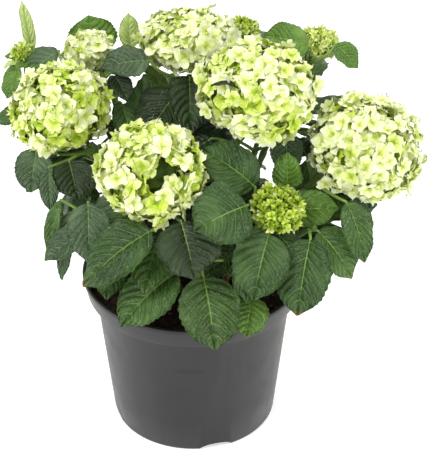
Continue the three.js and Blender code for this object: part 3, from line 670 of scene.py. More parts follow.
class Finish:
    """A material built up from Principled sockets and patterns on Object coordinates."""

    def __init__(self, name, tone, roughness, specular=0.5):
        self.material = bpy.data.materials.new(name)
        self.material.use_nodes = True
        self.nodes, self.links = self.material.node_tree.nodes, self.material.node_tree.links
        self.shader = self.nodes["Principled BSDF"]
        self.tone = tone
        self.set("Base Color", tone)
        self.set("Roughness", roughness)
        self.set("Specular IOR Level", specular)
        self.place = self.nodes.new("ShaderNodeTexCoord").outputs["Object"]
        self.height = None

    def set(self, socket, value):
        self.shader.inputs[socket].default_value = value

    def add(self, kind, inputs=None, **settings):
        node = self.nodes.new(kind)
        for key, value in settings.items():
            setattr(node, key, value)
        for key, value in (inputs or {}).items():
            if isinstance(value, bpy.types.NodeSocket):
                self.links.new(value, node.inputs[key])
            else:
                node.inputs[key].default_value = value
        return node

    def stretched(self, stretch):
        return self.add("ShaderNodeMapping", {"Vector": self.place, "Scale": stretch}).outputs["Vector"]

    def noise(self, scale, detail=3.0, stretch=None, distortion=0.0):
        """Noise with features of about 1/scale metres."""
        vector = self.stretched(stretch) if stretch else self.place
        sizes = {"Vector": vector, "Scale": scale, "Detail": detail, "Roughness": NOISE_ROUGHNESS,
                 "Distortion": distortion}
        return self.add("ShaderNodeTexNoise", sizes).outputs["Fac"]

    def cells(self, scale):
        """The distance from the nearest border between cells about 1/scale metres wide."""
        sizes = {"Vector": self.place, "Scale": scale, "Randomness": 1.0}
        return self.add("ShaderNodeTexVoronoi", sizes, feature="DISTANCE_TO_EDGE").outputs["Distance"]

    def ramp(self, factor, low, high):
        """0 below low and 1 above high, or the other way round where low is the larger."""
        sizes = {"Value": factor, "From Min": low, "From Max": high}
        return self.add("ShaderNodeMapRange", sizes).outputs["Result"]

    def mottle(self, pattern, tone, low=0.4, high=0.65):
        """Mixes another tone in where the pattern is high."""
        mix = self.add("ShaderNodeMix", {"Factor": self.ramp(pattern, low, high)}, data_type="RGBA")
        socket = self.shader.inputs["Base Color"]
        if socket.links:
            self.links.new(socket.links[0].from_socket, mix.inputs["A"])
        else:
            mix.inputs["A"].default_value = self.tone
        mix.inputs["B"].default_value = tone
        self.links.new(mix.outputs["Result"], socket)

    def vary_roughness(self, pattern, low, high):
        """Roughness from low to high as the pattern rises."""
        sizes = {"Value": pattern, "From Min": 0.3, "From Max": 0.7, "To Min": low, "To Max": high}
        spread = self.add("ShaderNodeMapRange", sizes)
        self.links.new(spread.outputs["Result"], self.shader.inputs["Roughness"])

    def relief(self, pattern, depth, strength=1.0):
        """Bump from a pattern, depth in metres."""
        inputs = {"Height": pattern, "Distance": depth, "Strength": strength}
        if self.height:
            inputs["Normal"] = self.height
        self.height = self.add("ShaderNodeBump", inputs).outputs["Normal"]
        self.links.new(self.height, self.shader.inputs["Normal"])


# Each leaf tone as the blade's, the side veins' and the midrib's colour.
LEAF_TONES = {
    "deep": (colour(45, 73, 30), colour(104, 138, 74), colour(134, 166, 88)),
    # A darker copy of the green, painted shade for leaves that lie in the bush's shadow:
    "dusk": (colour(31, 46, 20), colour(68, 92, 50), colour(96, 120, 64)),
    "mid": (colour(60, 91, 37), colour(118, 154, 84), colour(146, 176, 92)),
    # A greyed copy of the green, a painted sheen: the grey of light glancing off the leaves:
    "grey": (colour(65, 88, 56), colour(118, 142, 104), colour(138, 160, 114)),
    "warm": (colour(54, 82, 32), colour(112, 144, 76), colour(148, 172, 88)),
    "fresh": (colour(84, 122, 44), colour(140, 176, 84), colour(164, 196, 94)),
    # A pale green, partly the young leaves' own and partly painted light that lifts them out of the heads'
    # shade:
    "light": (colour(186, 208, 118), colour(216, 232, 164), colour(220, 234, 172)),
}
# Each sepal tone as rim, middle and heart.
SEPAL_TONES = {
    "cream": (colour(246, 249, 212), colour(236, 243, 172), colour(202, 220, 104)),
    "pale": (colour(236, 243, 174), colour(218, 231, 124), colour(176, 204, 60)),
    "lime": (colour(212, 228, 108), colour(186, 210, 62), colour(140, 172, 26)),
    "green": (colour(172, 198, 56), colour(134, 166, 30), colour(80, 114, 12)),
}


def leaf_finishes():
    """A blade, side vein, midrib and underside finish for each leaf tone."""
    made = {"scorch": scorch_finish()}
    for tint, (tone, vein_tone, rib_tone) in LEAF_TONES.items():
        blade = Finish("leaf_" + tint, tone, 0.4, 0.34)
        blade.mottle(blade.noise(55, 3), shade(tone, 0.56), 0.42, 0.66)
        blade.mottle(blade.noise(24, 2, distortion=0.4), blend(tone, vein_tone, 0.6), 0.5, 0.7)
        net = blade.cells(340)
        blade.mottle(net, blend(tone, vein_tone, 0.36), 0.1, 0.02)
        blade.vary_roughness(blade.noise(70), 0.16, 0.46)
        blade.relief(blade.ramp(net, 0.0, 0.3), 0.0005, 0.6)
        blade.relief(blade.noise(170, 2), 0.0012, 0.5)
        blade.relief(blade.noise(900, 2), 0.0002, 0.4)
        vein = Finish("vein_" + tint, vein_tone, 0.42, 0.4)
        vein.mottle(vein.noise(120), blend(vein_tone, tone, 0.5))
        rib = Finish("midrib_" + tint, rib_tone, 0.42, 0.4)
        rib.mottle(rib.noise(120), shade(rib_tone, 0.82))
        under = Finish("leaf_under_" + tint, blend(rib_tone, tone, 0.4), 0.62, 0.3)
        under.mottle(under.noise(60), blend(rib_tone, tone, 0.7))
        under.mottle(under.cells(300), rib_tone, 0.08, 0.02)
        under.relief(under.noise(700, 2), 0.0003, 0.5)
        for part, finish in (("blade_", blade), ("vein_", vein), ("rib_", rib), ("under_", under)):
            made[part + tint] = finish.material
    return made


def scorch_finish():
    """The brown of a dry leaf tip."""
    dry = Finish("leaf_scorch", colour(112, 82, 46), 0.7, 0.3)
    dry.mottle(dry.noise(300), colour(86, 92, 44))
    return dry.material


def sepal_finishes():
    """A finish for each zone of a sepal, and one for the floret's eye, in each tone."""
    made = {}
    for tint, tones in SEPAL_TONES.items():
        for part, tone in zip(("rim", "middle", "heart"), tones):
            petal = Finish(f"sepal_{part}_{tint}", tone, 0.6, 0.3)
            petal.mottle(petal.noise(230, 2), blend(tone, tones[2], 0.45), 0.46, 0.68)
            petal.set("Subsurface Weight", 0.08)
            petal.set("Subsurface Radius", (0.003, 0.003, 0.0015))
            petal.relief(petal.noise(1400, 2), 0.00015, 0.4)
            made[f"{part}_{tint}"] = petal.material
        eye = Finish("floret_eye_" + tint, shade(tones[2], 0.85), 0.5, 0.4)
        eye.mottle(eye.noise(600), shade(tones[2], 0.6))
        made["eye_" + tint] = eye.material
    return made


def stem_finishes():
    """The finishes of leaf stalks, green shoots, woody canes, floret stalks and the heads' green inside, with
    a darker inside that is painted shade.
    """
    stalk = Finish("stalk_green", colour(124, 156, 72), 0.48, 0.45)
    stalk.mottle(stalk.noise(70), colour(102, 134, 56))
    stalk.mottle(stalk.noise(420, 2), colour(112, 122, 62), 0.6, 0.72)
    shoot = Finish("shoot_green", colour(102, 130, 58), 0.5, 0.4)
    shoot.mottle(shoot.noise(50), colour(86, 104, 46))
    shoot.mottle(shoot.noise(500, 2), colour(84, 66, 46), 0.6, 0.68)
    shoot.relief(shoot.noise(260, 3, stretch=(1, 1, 0.25)), 0.0005, 0.6)
    bark = Finish("cane_bark", colour(110, 92, 62), 0.78, 0.25)
    bark.mottle(bark.noise(60), colour(84, 80, 46))
    bark.mottle(bark.noise(190, 4, stretch=(1, 1, 0.15)), colour(66, 50, 36), 0.5, 0.64)
    bark.relief(bark.noise(240, 4, stretch=(1, 1, 0.12)), 0.0012, 0.9)
    ray = Finish("head_stalk", colour(156, 182, 80), 0.5, 0.4)
    ray.mottle(ray.noise(150), colour(130, 158, 60))
    core = Finish("head_core", colour(150, 176, 60), 0.7, 0.2)
    core.mottle(core.noise(110, 3), colour(178, 200, 76), 0.48, 0.62)
    core.mottle(core.noise(260, 2), colour(112, 140, 36), 0.5, 0.62)
    core.relief(core.noise(260, 3), 0.002, 0.9)
    # A darker green for the inside of young and open heads: painted shade.
    dark = Finish("head_core_painted_shade", colour(74, 96, 36), 0.7, 0.2)
    dark.mottle(dark.noise(110, 3), colour(100, 124, 44), 0.48, 0.62)
    dark.relief(dark.noise(260, 3), 0.002, 0.9)
    return {"stalk": stalk.material, "shoot": shoot.material, "bark": bark.material,
            "ray": ray.material, "core": core.material, "dark_core": dark.material}


# ------------------------------------------------------------------ leaf blades
# A blade's points are found by u, from stalk (0) to tip (1), and v, from edge to edge (-1 to 1).
# The side veins leave the midrib at VEIN_STARTS and sweep forward to the edge. VEIN_HALF is half a vein's
# width, and VEIN_TAPER the share of it that is gone at the edge. The sweep grows from the stalk and dies away
# towards the tip, by the powers SWEEP_GROWS and SWEEP_DIES.
VEIN_STARTS = [0.045, 0.14, 0.245, 0.36, 0.485, 0.625, 0.785]
VEIN_SWEEP = 0.72
SWEEP_GROWS = 3
SWEEP_DIES = 1.2
VEIN_CURVE = 1.18
VEIN_HALF = 0.0075
VEIN_TAPER = 0.65
# The midrib looks like a side vein from RIB_END on, and its width is RIB_SPREAD less the share of the way.
RIB_END = 0.66
RIB_SPREAD = 1.4
BLADE_ENDS = (0.012, 0.995)
COLUMNS = [0, 0.02, 0.3, 0.58, 0.82, 1]
# Between two veins lie a notch (-1), a tooth (1) and a notch, each this far along.
BETWEEN_VEINS = [(0.27, -1), (0.5, 1), (0.77, -1)]
# Heights as shares of the blade's length: the swelling between veins, and how deep midrib and veins lie.
SWELL = 0.038
SWELL_ACROSS = [0.0, 0.3, 1.0, 1.0, 0.7, 0.1]
MIDRIB_DEPTH = 0.012
MIDRIB_SIDE = 0.4
VEIN_DEPTH = 0.004
TOOTH = 0.026
TOOTH_FORWARD = 0.014
TOOTH_FORWARD_END = 0.8
# The blade's end is rounder than the solid's by ROUND about ROUND_AT, and then narrows to a point.
ROUND = 0.13
ROUND_AT = 0.78
ROUND_SPAN = 0.13
POINT_START = 0.87
POINT_NARROW = 0.4
# Three kinds of waves along a blade, by how many there are: in its sides, in its edges alone, and where one
# side lifts as the other sinks. Heights are shares of the blade's width.
SIDE_WAVES = 1.25
EDGE_WAVES = 2.6
EDGE_WAVE_SHARE = 0.6
WAVE_HEIGHT = 0.04
TILT_WAVES = 0.8
TILT_HEIGHT = 0.03
BLADE_HALF_THICK = 0.3
# The leaves with a dry tip, by their place in the table of set leaves, and where the brown begins.
SCORCHED = (0, 9, 11, 26)
SCORCH_START = 0.93
# A stalk's radius at the shoot and at the blade, and the midrib under the blade: places, radii and how deep.
STALK_R = (2.2, 1.35)
STALK_STEPS = 7
UNDER_RIB_AT = [0.05, 0.16, 0.3, 0.5]
UNDER_RIB_R = [1.2, 1.0, 0.75, 0.4]
UNDER_RIB_SINK = -0.9
STALK_SIDES = 7
# Leaves whose middle lies further back than this go with the rear blades.
REAR_FROM = 24


def wave(count, u, phase):
    """So many waves (-1 to 1) from stalk to tip."""
    return np.sin(2 * math.pi * count * u + phase)


def blade_lines():
    """The blade's cross lines from stalk to tip, each as start on the midrib, side of a vein (-1, 0 or 1),
    swelling (0 to 1) and tooth (-1 in a notch, 1 on a tooth)."""
    first, last = BLADE_ENDS
    lines = [(first, 0, 0.0, 0)]
    stops = [first] + VEIN_STARTS + [last]
    for k, (low, high) in enumerate(zip(stops, stops[1:])):
        for share, tooth in BETWEEN_VEINS if k else [(0.5, 0)]:
            lines.append((low + (high - low) * share, 0, math.sin(math.pi * share), tooth))
        if high < last:
            lines += [(high, -1, 0.0, 1), (high, 1, 0.0, 1)]
    return lines + [(last, 0, 0.0, 0)]


def model_blade():
    """A blade as u, v and height for each point, its triangles, the part each belongs to, and its rim."""
    lines = blade_lines()
    across = [-v for v in reversed(COLUMNS[1:])] + COLUMNS
    swell_across = SWELL_ACROSS[:0:-1] + SWELL_ACROSS
    beside_rib = COLUMNS[1]
    points = []
    for start, side, swell, tooth in lines:
        sweep = VEIN_SWEEP * (1 - (1 - start) ** SWEEP_GROWS) * (1 - start ** SWEEP_DIES)
        for v, width in zip(across, swell_across):
            out = abs(v)
            u = start + side * VEIN_HALF * (1 - VEIN_TAPER * out) + sweep * out ** VEIN_CURVE
            rise = SWELL * swell * width
            if out == 0:
                rise -= MIDRIB_DEPTH
            elif out == beside_rib:
                rise -= MIDRIB_SIDE * MIDRIB_DEPTH
                v *= RIB_SPREAD - start
            elif out < 1:
                rise -= VEIN_DEPTH * abs(side)
            else:
                u += TOOTH_FORWARD * max(tooth, 0) * (start < TOOTH_FORWARD_END)
                v *= 1 + TOOTH * tooth
            points.append((u, v, rise))
    size = len(across)
    faces, zones = [], []
    for i in range(len(lines) - 1):
        in_vein = lines[i][1] == -1 and lines[i + 1][1] == 1
        for j in range(size - 1):
            a = i * size + j
            faces += [(a, a + size, a + size + 1), (a, a + size + 1, a + 1)]
            middle = max(abs(across[j]), abs(across[j + 1]))
            zone = "vein" if in_vein and middle < 1 else "blade"
            if middle <= beside_rib:
                zone = "rib" if lines[i][0] < RIB_END else "vein"
            zones += [zone, zone]
    edge = [i * size for i in range(len(lines))]
    rim = edge + [edge[-1] + j for j in range(1, size)]
    rim += [i + size - 1 for i in reversed(edge[:-1])] + list(range(size - 2, 0, -1))
    points = np.array(points)
    points[:, 1] *= 1 + ROUND * np.exp(-(((points[:, 0] - ROUND_AT) / ROUND_SPAN) ** 2))
    points[:, 1] *= 1 - POINT_NARROW * np.clip((points[:, 0] - POINT_START) / (1 - POINT_START), 0, 1)
    return points, faces, zones, rim


def add_blade(parts, leaf, number, model):
    """One blade, cupped and waved in its own way, with an underside and a thin rim."""
    net, faces, zones, rim = model
    u, v = net[:, 0], net[:, 1]
    a, b, c = (2 * math.pi * wobble(number * 7 + n) for n in (1, 2, 3))
    waves = wave(SIDE_WAVES, u, a) * v * v
    waves += EDGE_WAVE_SHARE * wave(EDGE_WAVES, u, b) * np.abs(v) ** 3
    tilts = TILT_HEIGHT * wave(TILT_WAVES, u, c) * v
    top = leaf.surface(u, v, net[:, 2] * leaf.length + leaf.width * (WAVE_HEIGHT * waves + tilts))
    low = top - leaf.frame(u)[1] * 2 * BLADE_HALF_THICK
    n = len(net)
    under = [tuple(corner + n for corner in reversed(face)) for face in faces]
    sides = [(p, q, q + n, p + n) for p, q in zip(rim, rim[1:] + rim[:1])]
    dry = SCORCH_START if number in SCORCHED else math.inf
    tints = ["scorch" if u[list(face)].mean() > dry else zone + "_" + leaf.tint
             for face, zone in zip(faces, zones)]
    tints += ["under_" + leaf.tint] * len(faces) + ["vein_" + leaf.tint] * len(sides)
    parts.add(np.concatenate([top, low]), faces + under + sides, tints)


def add_stalk(parts, leaf):
    """The leaf's stalk, widest where it clasps the shoot, running on under the blade as its midrib."""
    path = bow(leaf.stalk_path, STALK_STEPS)
    u = np.array(UNDER_RIB_AT)
    under = leaf.surface(u, u * 0, UNDER_RIB_SINK)
    radii = np.concatenate([np.linspace(*STALK_R, len(path)), UNDER_RIB_R])
    parts.add(*tube(np.concatenate([path, under]), radii, STALK_SIDES), "stalk")


# Small young leaves that stand round a small head: how many, and their least length and its spread. BUD_OUT
# is how far out they begin, against the head's radius, and their angles are [least, spread] in degrees.
BUD_LEAVES = {
    "far-left": (8, 18, 10), "green": (3, 13, 5), "upper-right": (4, 13, 6), "behind": (3, 14, 5),
    "upper-left": (2, 16, 5),
}
BUD_OUT = 0.55
BUD_PITCH = [52, -40]
BUD_DROOP = [24, 40]
BUD_ROLL = [-15, 30]
BUD_WIDTH = 0.6
# Where the light ones, partly painted light, and the fresh green ones end, as shares of all.
BUD_LIGHT_END = 0.3
BUD_FRESH_END = 0.8
# Small leaves that peep out among the florets, as in the table of set leaves, in the darkest tint, which is
# painted shade.
PEEPING_LEAVES = [
    ("middle", "dusk", 1, 47, -50, 410, 178, 42, 74, 31, 14, 10),
    ("crown", "dusk", 1, -80, 62, 366, -60, -8, 46, 34, 27, 0),
]


def young_leaves():
    """The small leaves round the small heads, some light (a pale green with painted light in it), most fresh
    green and some darker.
    """
    made = []
    for shoot in SHOOTS:
        count, *size = BUD_LEAVES.get(shoot.name, (0,))
        for n in range(count):
            seed = 300 * shoot.number + n
            turn = math.degrees(GOLDEN_ANGLE) * n + shoot.turn
            base = shoot.at(shoot.neck) + heading(turn) * shoot.r * BUD_OUT
            length = vary(seed + 1, *size)
            angles = turn, vary(seed + 2, *BUD_PITCH), vary(seed + 3, *BUD_DROOP)
            roll = vary(seed + 4, *BUD_ROLL)
            draw = wobble(len(made))
            tint = "light" if draw < BUD_LIGHT_END else "fresh" if draw < BUD_FRESH_END else "mid"
            made.append(Leaf(shoot, shoot.neck, base, *angles, length, length * BUD_WIDTH, roll, tint))
    return made


def make_leaves(finishes):
    """Every blade and stalk: big blades in two pieces by side of the plant, small ones in a third."""
    model = model_blade()
    front, rear, small, stalks = Parts(), Parts(), Parts(), Parts()
    for number, leaf in enumerate(LEAVES):
        add_blade(rear if leaf.middle[1] >= REAR_FROM else front, leaf, number, model)
        add_stalk(stalks, leaf)
    for number, leaf in enumerate(young_leaves(), len(LEAVES)):
        add_blade(small, leaf, number, model)
    for number, row in enumerate(PEEPING_LEAVES, 2 * len(LEAVES)):
        add_blade(small, set_leaf(*row), number, model)
    front.join("leaf-blades-front", finishes, "leaf")
    rear.join("leaf-blades-rear", finishes, "leaf")
    stalks.join("leaf-stalks", finishes, "leaf")
    small.join("young-leaves", finishes, "leaf")


# ------------------------------------------------------------------ shoots and canes
# Where leaves sit a shoot is thicker by NODE_SWELL, over NODE_WIDTH of its length to each side.
NODE_SWELL = 0.32
NODE_WIDTH = 0.018
CANE_SINK = 1
CANE_RINGS = 26
CANE_SIDES = 12
STEM_RINGS = 34
STEM_SIDES = 9
# The bark's radius against the cane's, as [least, spread], the same over RIDGE_RINGS rings. A cane flares at
# its foot.
BARK_R = [0.94, 0.13]
RIDGE_RINGS = 3
FLARE = 0.5
FLARE_LENGTH = 0.02
STEM_STARTS_BEFORE = 0.004
STEM_ENDS_AFTER = 0.01


def shoot_radius(shoot, share):
    """The shoot's radius, thicker where a pair of leaves sits."""
    radius = shoot.radius(share)
    for pair in shoot.pairs:
        at = min(pair, shoot.neck - LAST_NODE)
        radius = radius * (1 + NODE_SWELL * np.exp(-(((share - at) / NODE_WIDTH) ** 2)))
    return radius


def make_shoots(finishes):
    """Each shoot as a woody cane below and a green stem above, the bark ridged along it."""
    canes, stems = Parts(), Parts()
    for shoot in SHOOTS:
        share = np.linspace(0, shoot.mass, CANE_RINGS)
        points, faces = tube(shoot.at(share), shoot_radius(shoot, share), CANE_SIDES)
        ring, turn = np.divmod(np.arange(len(points)), CANE_SIDES)
        middle = shoot.at(share)[ring]
        bark = np.array([vary(7 * t + 3 * (r // RIDGE_RINGS) + shoot.number, *BARK_R)
                         for r, t in zip(ring, turn)])
        flare = 1 + FLARE * np.exp(-share[ring] / FLARE_LENGTH)
        points = middle + (points - middle) * (bark * flare)[:, None]
        points[:, 2] = np.maximum(points[:, 2], SOIL_TOP - CANE_SINK)
        canes.add(points, faces, "bark")
        share = np.linspace(shoot.mass - STEM_STARTS_BEFORE, shoot.neck + STEM_ENDS_AFTER, STEM_RINGS)
        stems.add(*tube(shoot.at(share), shoot_radius(shoot, share), STEM_SIDES), "shoot")
    canes.join("canes", finishes, "cane", ["cane-" + shoot.name for shoot in SHOOTS])
    stems.join("green-shoots", finishes, "leaf", ["leaves-" + shoot.name for shoot in SHOOTS])


# ------------------------------------------------------------------ flower heads
# The cross rows of a sepal: how far out along it, its half width there and its rise, as shares of its length.
SEPAL_ROWS = [(0.05, 0.1, 0.0), (0.3, 0.4, 0.05), (0.6, 0.57, 0.08), (0.86, 0.44, 0.05), (1.06, 0.1, 0.0)]
SEPAL_COLUMNS = 3
ROW_NEAR = 0.01
# A sepal dips along its middle, by SEPAL_DIP and over DIP_HALF to both sides.
SEPAL_DIP = 0.06
DIP_HALF = 0.21
# A row that is shaped steps aside by this much, so that no later one is taken for it.
ROW_ASIDE = 10
EYE_R = 0.1
EYE_RISE = 0.04
HEART_END = 0.25
MIDDLE_END = 0.6
# How the sepals of a floret differ, as [least, spread] of each measure, and how each is bent.
SEPALS = 4
SEPAL_SIZE = [0.9, 0.2]
SEPAL_WIDTH = [0.92, 0.22]
SEPAL_TURN = 0.3
SEPAL_TWIST = 0.9
OVERLAP = 0.04
CUP = [-0.2, 0.75]
CUP_CURVE = 1.6
CUP_EASE = 0.45
CUP_EASE_FROM = 0.7
CUP_SHORTENS = 0.3
RUFFLE = 0.17
RUFFLE_WAVES = (2.2, 6.4)
CRUMPLE = 0.22
# The florets of a young head are more closed and their sepals narrower.
YOUNG_CUP = [0.3, 1.0]
YOUNG_WIDTH = 0.74
# The lumps of a head's inside, how wide and how high against its radius.
CORE_LUMPS = 0.22
CORE_RELIEF = 0.34


def model_sepal():
    """One sepal along +X from the floret's middle, shaped row by row from a small grid."""
    start_clean()
    rows = len(SEPAL_ROWS)
    bpy.ops.mesh.primitive_grid_add(x_subdivisions=rows - 1, y_subdivisions=SEPAL_COLUMNS, size=2)
    sepal = bpy.context.object
    for place, (along, half, rise) in zip(np.linspace(-1, 1, rows), SEPAL_ROWS):
        select_where(lambda co, place=place: abs(co.x - place) < ROW_NEAR)
        bpy.ops.transform.resize(value=(1, half, 1))
        bpy.ops.transform.translate(value=(along - place + ROW_ASIDE, 0, rise))
    select_where(lambda co: abs(co.y) < DIP_HALF)
    bpy.ops.transform.translate(value=(0, 0, -SEPAL_DIP))
    select_all()
    bpy.ops.transform.translate(value=(-ROW_ASIDE, 0, 0))
    bpy.ops.object.mode_set(mode="OBJECT")
    return take_shape(sepal)


def model_eye():
    """The small bead in a floret's middle."""
    start_clean()
    bpy.ops.mesh.primitive_uv_sphere_add(segments=5, ring_count=4, radius=EYE_R,
                                         location=(0, 0, EYE_RISE))
    eye = bpy.context.object
    bpy.ops.object.transform_apply()
    select_where(lambda co: co.z < 0.0)
    bpy.ops.mesh.delete(type="VERT")
    bpy.ops.object.mode_set(mode="OBJECT")
    return take_shape(eye)


def bent_sepal(sepal, key, creases, cups, width):
    """A copy of a sepal, sized, cupped, twisted, ruffled and crumpled by the draws that key begins."""
    copy = sepal.copy()
    copy[:, :2] *= vary(key, *SEPAL_SIZE)
    copy[:, 1] *= width * vary(key + 1, *SEPAL_WIDTH)
    out, side = copy[:, 0].copy(), copy[:, 1].copy()
    cup = vary(key + 3, *cups)
    along, across = RUFFLE_WAVES
    ruffle = np.sin(across * side + along * out + 2 * math.pi * wobble(key + 2))
    copy[:, 2] += cup * out ** CUP_CURVE - CUP_EASE * cup * np.maximum(out - CUP_EASE_FROM, 0)
    copy[:, 2] += RUFFLE * out ** 2 * ruffle
    copy[:, 2] += SEPAL_TWIST * (wobble(key + 5) - 0.5) * side * out
    copy[:, 0] -= CUP_SHORTENS * cup * cup * out
    return copy + CRUMPLE * np.array([nudge(creases + 3 * v) for v in range(len(copy))]) * out[:, None]


def model_floret(seed, sepal, eye, cups, width):
    """A floret one unit in radius: broad sepals, each bent its own way, round an eye.

    Each sepal draws from cups, [least, spread], how far it closes. width is against the usual sepal's.
    """
    points, faces, zones = [], [], []
    flat, flat_faces = sepal
    along = [flat[list(face), 0].mean() for face in flat_faces]
    sepal_zones = ["heart" if out < HEART_END else "middle" if out < MIDDLE_END else "rim" for out in along]
    for n in range(SEPALS):
        key = 40 * seed + 9 * n
        x, y, z = bent_sepal(flat, key, 97 * seed + 31 * n, cups, width).T
        angle = 2 * math.pi / SEPALS * n + SEPAL_TURN * (wobble(key + 4) - 0.5)
        points.append(np.column_stack([x * math.cos(angle) - y * math.sin(angle),
                                       x * math.sin(angle) + y * math.cos(angle), z + OVERLAP * (n % 2)]))
        faces += [tuple(corner + n * len(flat) for corner in face) for face in flat_faces]
        zones += sepal_zones
    points.append(eye[0])
    faces += [tuple(corner + SEPALS * len(flat) for corner in face) for face in eye[1]]
    zones += ["eye"] * len(eye[1])
    return np.concatenate(points), faces, zones


def model_core():
    """A lumpy ball, one unit in radius, for the green inside of a head."""
    start_clean()
    bpy.ops.mesh.primitive_ico_sphere_add(subdivisions=4, radius=1)
    core = bpy.context.object
    lumps = clouds("core_lumps", CORE_LUMPS)
    apply_modifier(core, "DISPLACE", "lumps", texture=lumps, strength=CORE_RELIEF, mid_level=0.5)
    return take_shape(core)


# How a kind of head is built: its outer florets to each crest of the solid, their radius in millimetres, the
# share of an inner layer, how deep the two layers lie and the core's radius, as shares of the head's.
HEAD_KINDS = {
    "full": dict(more=2.35, size=10.0, inner=0.7, layers=(0.9, 0.8), core=0.74),
    "loose": dict(more=2.4, size=8.6, inner=0.7, layers=(0.87, 0.77), core=0.66),
    "young": dict(more=3.9, size=4.8, inner=0.5, layers=(0.83, 0.73), core=0.64),
}
# Each head's kind and where its two lightest tones end, as shares of its outer florets: cream and pale, or
# pale and lime on a young head. The rest are a tone greener, those lying deepest first, and where the second
# share is past 1 there is hardly any rest.
HEAD_LOOKS = {
    "left": ("full", 0.22, 0.62), "crown": ("full", 0.74, 1.1), "middle": ("full", 0.46, 0.86),
    "right": ("full", 0.95, 1.3), "front": ("full", 0.5, 0.84), "upper-left": ("loose", 0.9, 1.3),
    "green": ("young", 0.08, 0.58), "upper-right": ("young", 0.7, 1.3), "far-left": ("young", 0.2, 0.9),
    "behind": ("young", 0.16, 1.1), "back-right": ("full", 0.34, 0.7), "back": ("full", 0.2, 0.6),
    "back-left": ("full", 0.26, 0.64),
}
# Openings among the florets of a head: their directions from its middle, and their half angle in degrees.
HEAD_GAPS = {
    "front": ([(0.30, -0.75, 0.59), (0.22, -0.87, 0.44), (0.11, -0.95, 0.28), (0.06, -0.99, 0.13),
               (0.48, -0.77, 0.42), (0.68, -0.63, 0.36)], 10.5),
}
# The inside of a young or an open head, against the head's radius: it is darker green, painted shade for the
# shadow among its florets.
OPEN_CORE = 0.56
# How a head's florets differ from one to the next: how far one lies off its place on the spiral (SCATTER),
# how far it nods (TILT), how far clusters of them stand out (SWELLS) and how close together (CLUSTERS), all
# against the head's radius. Below BARE_UNDER a head is bare. The inner layer's florets are smaller and turned
# on from the outer's, and of a full head's inner ones the share INNER_PALE is pale.
VARIANTS = 12
SCATTER = 0.12
TILT = 0.55
SWELLS = 0.1
SWELL_SHARE = 0.6
SWELL_SINK = 0.9
CLUSTERS = 4.4
BARE_UNDER = -0.84
FLORET_SIZE = [0.8, 0.36]
INNER_SIZE = 0.86
INNER_TURN = 0.7
DEEP_GREENER = 0.32
INNER_PALE = 0.3
# A floret's stalk: how far up it bends, and how far outwards, its radii and its sides.
RAY_BEND = 0.55
RAY_OUT = 0.1
RAY_R = [0.9, 0.7, 0.5]
RAY_SIDES = 3
HUB_ABOVE_NECK = 0.03


def add_floret(parts, model, centre, facing, radius, seed, tint):
    """One floret, turned about its own axis by a draw."""
    points, faces, zones = model
    axes = turned_to(facing, 2 * math.pi * wobble(seed + 5))
    parts.add(centre + radius * (points @ axes), faces, [zone + "_" + tint for zone in zones])


def in_gap(shoot, way):
    """Whether a direction from the head's middle points into one of its openings."""
    ways, half = HEAD_GAPS.get(shoot.name, ([], 0))
    return any(unit(way) @ unit(gap) > math.cos(math.radians(half)) for gap in ways)


def swell(ball, number):
    """How far a floret stands out with its neighbours (-1.5 to 1.5): heads are made of clusters."""
    x, y, z = CLUSTERS * ball + number
    return math.sin(x + 1.3 * y) * math.sin(y + 1.1 * z + 1) + 0.5 * math.sin(1.9 * z + x)


def floret_tint(kind, ends, layer, height, draw):
    """The deeper a floret lies, the greener it is, and the inner layer is greener than the outer."""
    if layer and kind == "young":
        return "green"
    if layer:
        return "lime" if draw > INNER_PALE else "pale"
    tones = ["pale", "lime", "green"] if kind == "young" else ["cream", "pale", "lime"]
    place = draw - DEEP_GREENER * height
    return tones[sum(place >= end for end in ends)]


def add_head(shoot, florets, rays, models):
    """A head's florets on golden-angle spirals, an outer layer over a greener one, each on its stalk."""
    kind, *ends = HEAD_LOOKS[shoot.name]
    look = HEAD_KINDS[kind]
    flatten = np.array([1, 1, shoot.flat])
    axes = turned_to(shoot.axis, 0.0)
    hub = shoot.at(min(shoot.neck + HUB_ABOVE_NECK, 1.0))
    for layer, sink in enumerate(look["layers"]):
        count = int(shoot.florets * look["more"] * (look["inner"] if layer else 1))
        for i in range(count):
            seed = 5000 * (shoot.number + 1) + 900 * layer + i
            high = 1 - (2 * i + 1) / count
            if high < BARE_UNDER:
                continue
            wide = math.sqrt(1 - high * high)
            turn = GOLDEN_ANGLE * i + shoot.number + INNER_TURN * layer
            ball = np.array([wide * math.cos(turn), wide * math.sin(turn), high]) + SCATTER * nudge(seed + 11)
            way = (ball * flatten) @ axes
            if in_gap(shoot, way):
                continue
            height = swell(ball, shoot.number)
            depth = sink + SWELLS * (SWELL_SHARE * height + wobble(seed + 2) - SWELL_SINK)
            centre = shoot.centre + shoot.r * depth * way
            outward = unit((ball / flatten) @ axes)
            facing = unit(outward + nudge(seed + 7) * 2 * TILT)
            radius = look["size"] * vary(seed + 3, *FLORET_SIZE) * (INNER_SIZE if layer else 1)
            tint = floret_tint(kind, ends, layer, height, wobble(seed + 4))
            add_floret(florets, models[int(wobble(seed + 6) * VARIANTS)], centre, facing, radius, seed, tint)
            bend = hub + RAY_BEND * (centre - hub) + RAY_OUT * shoot.r * outward
            rays.add(*tube([hub, bend, centre], RAY_R, RAY_SIDES), "ray")


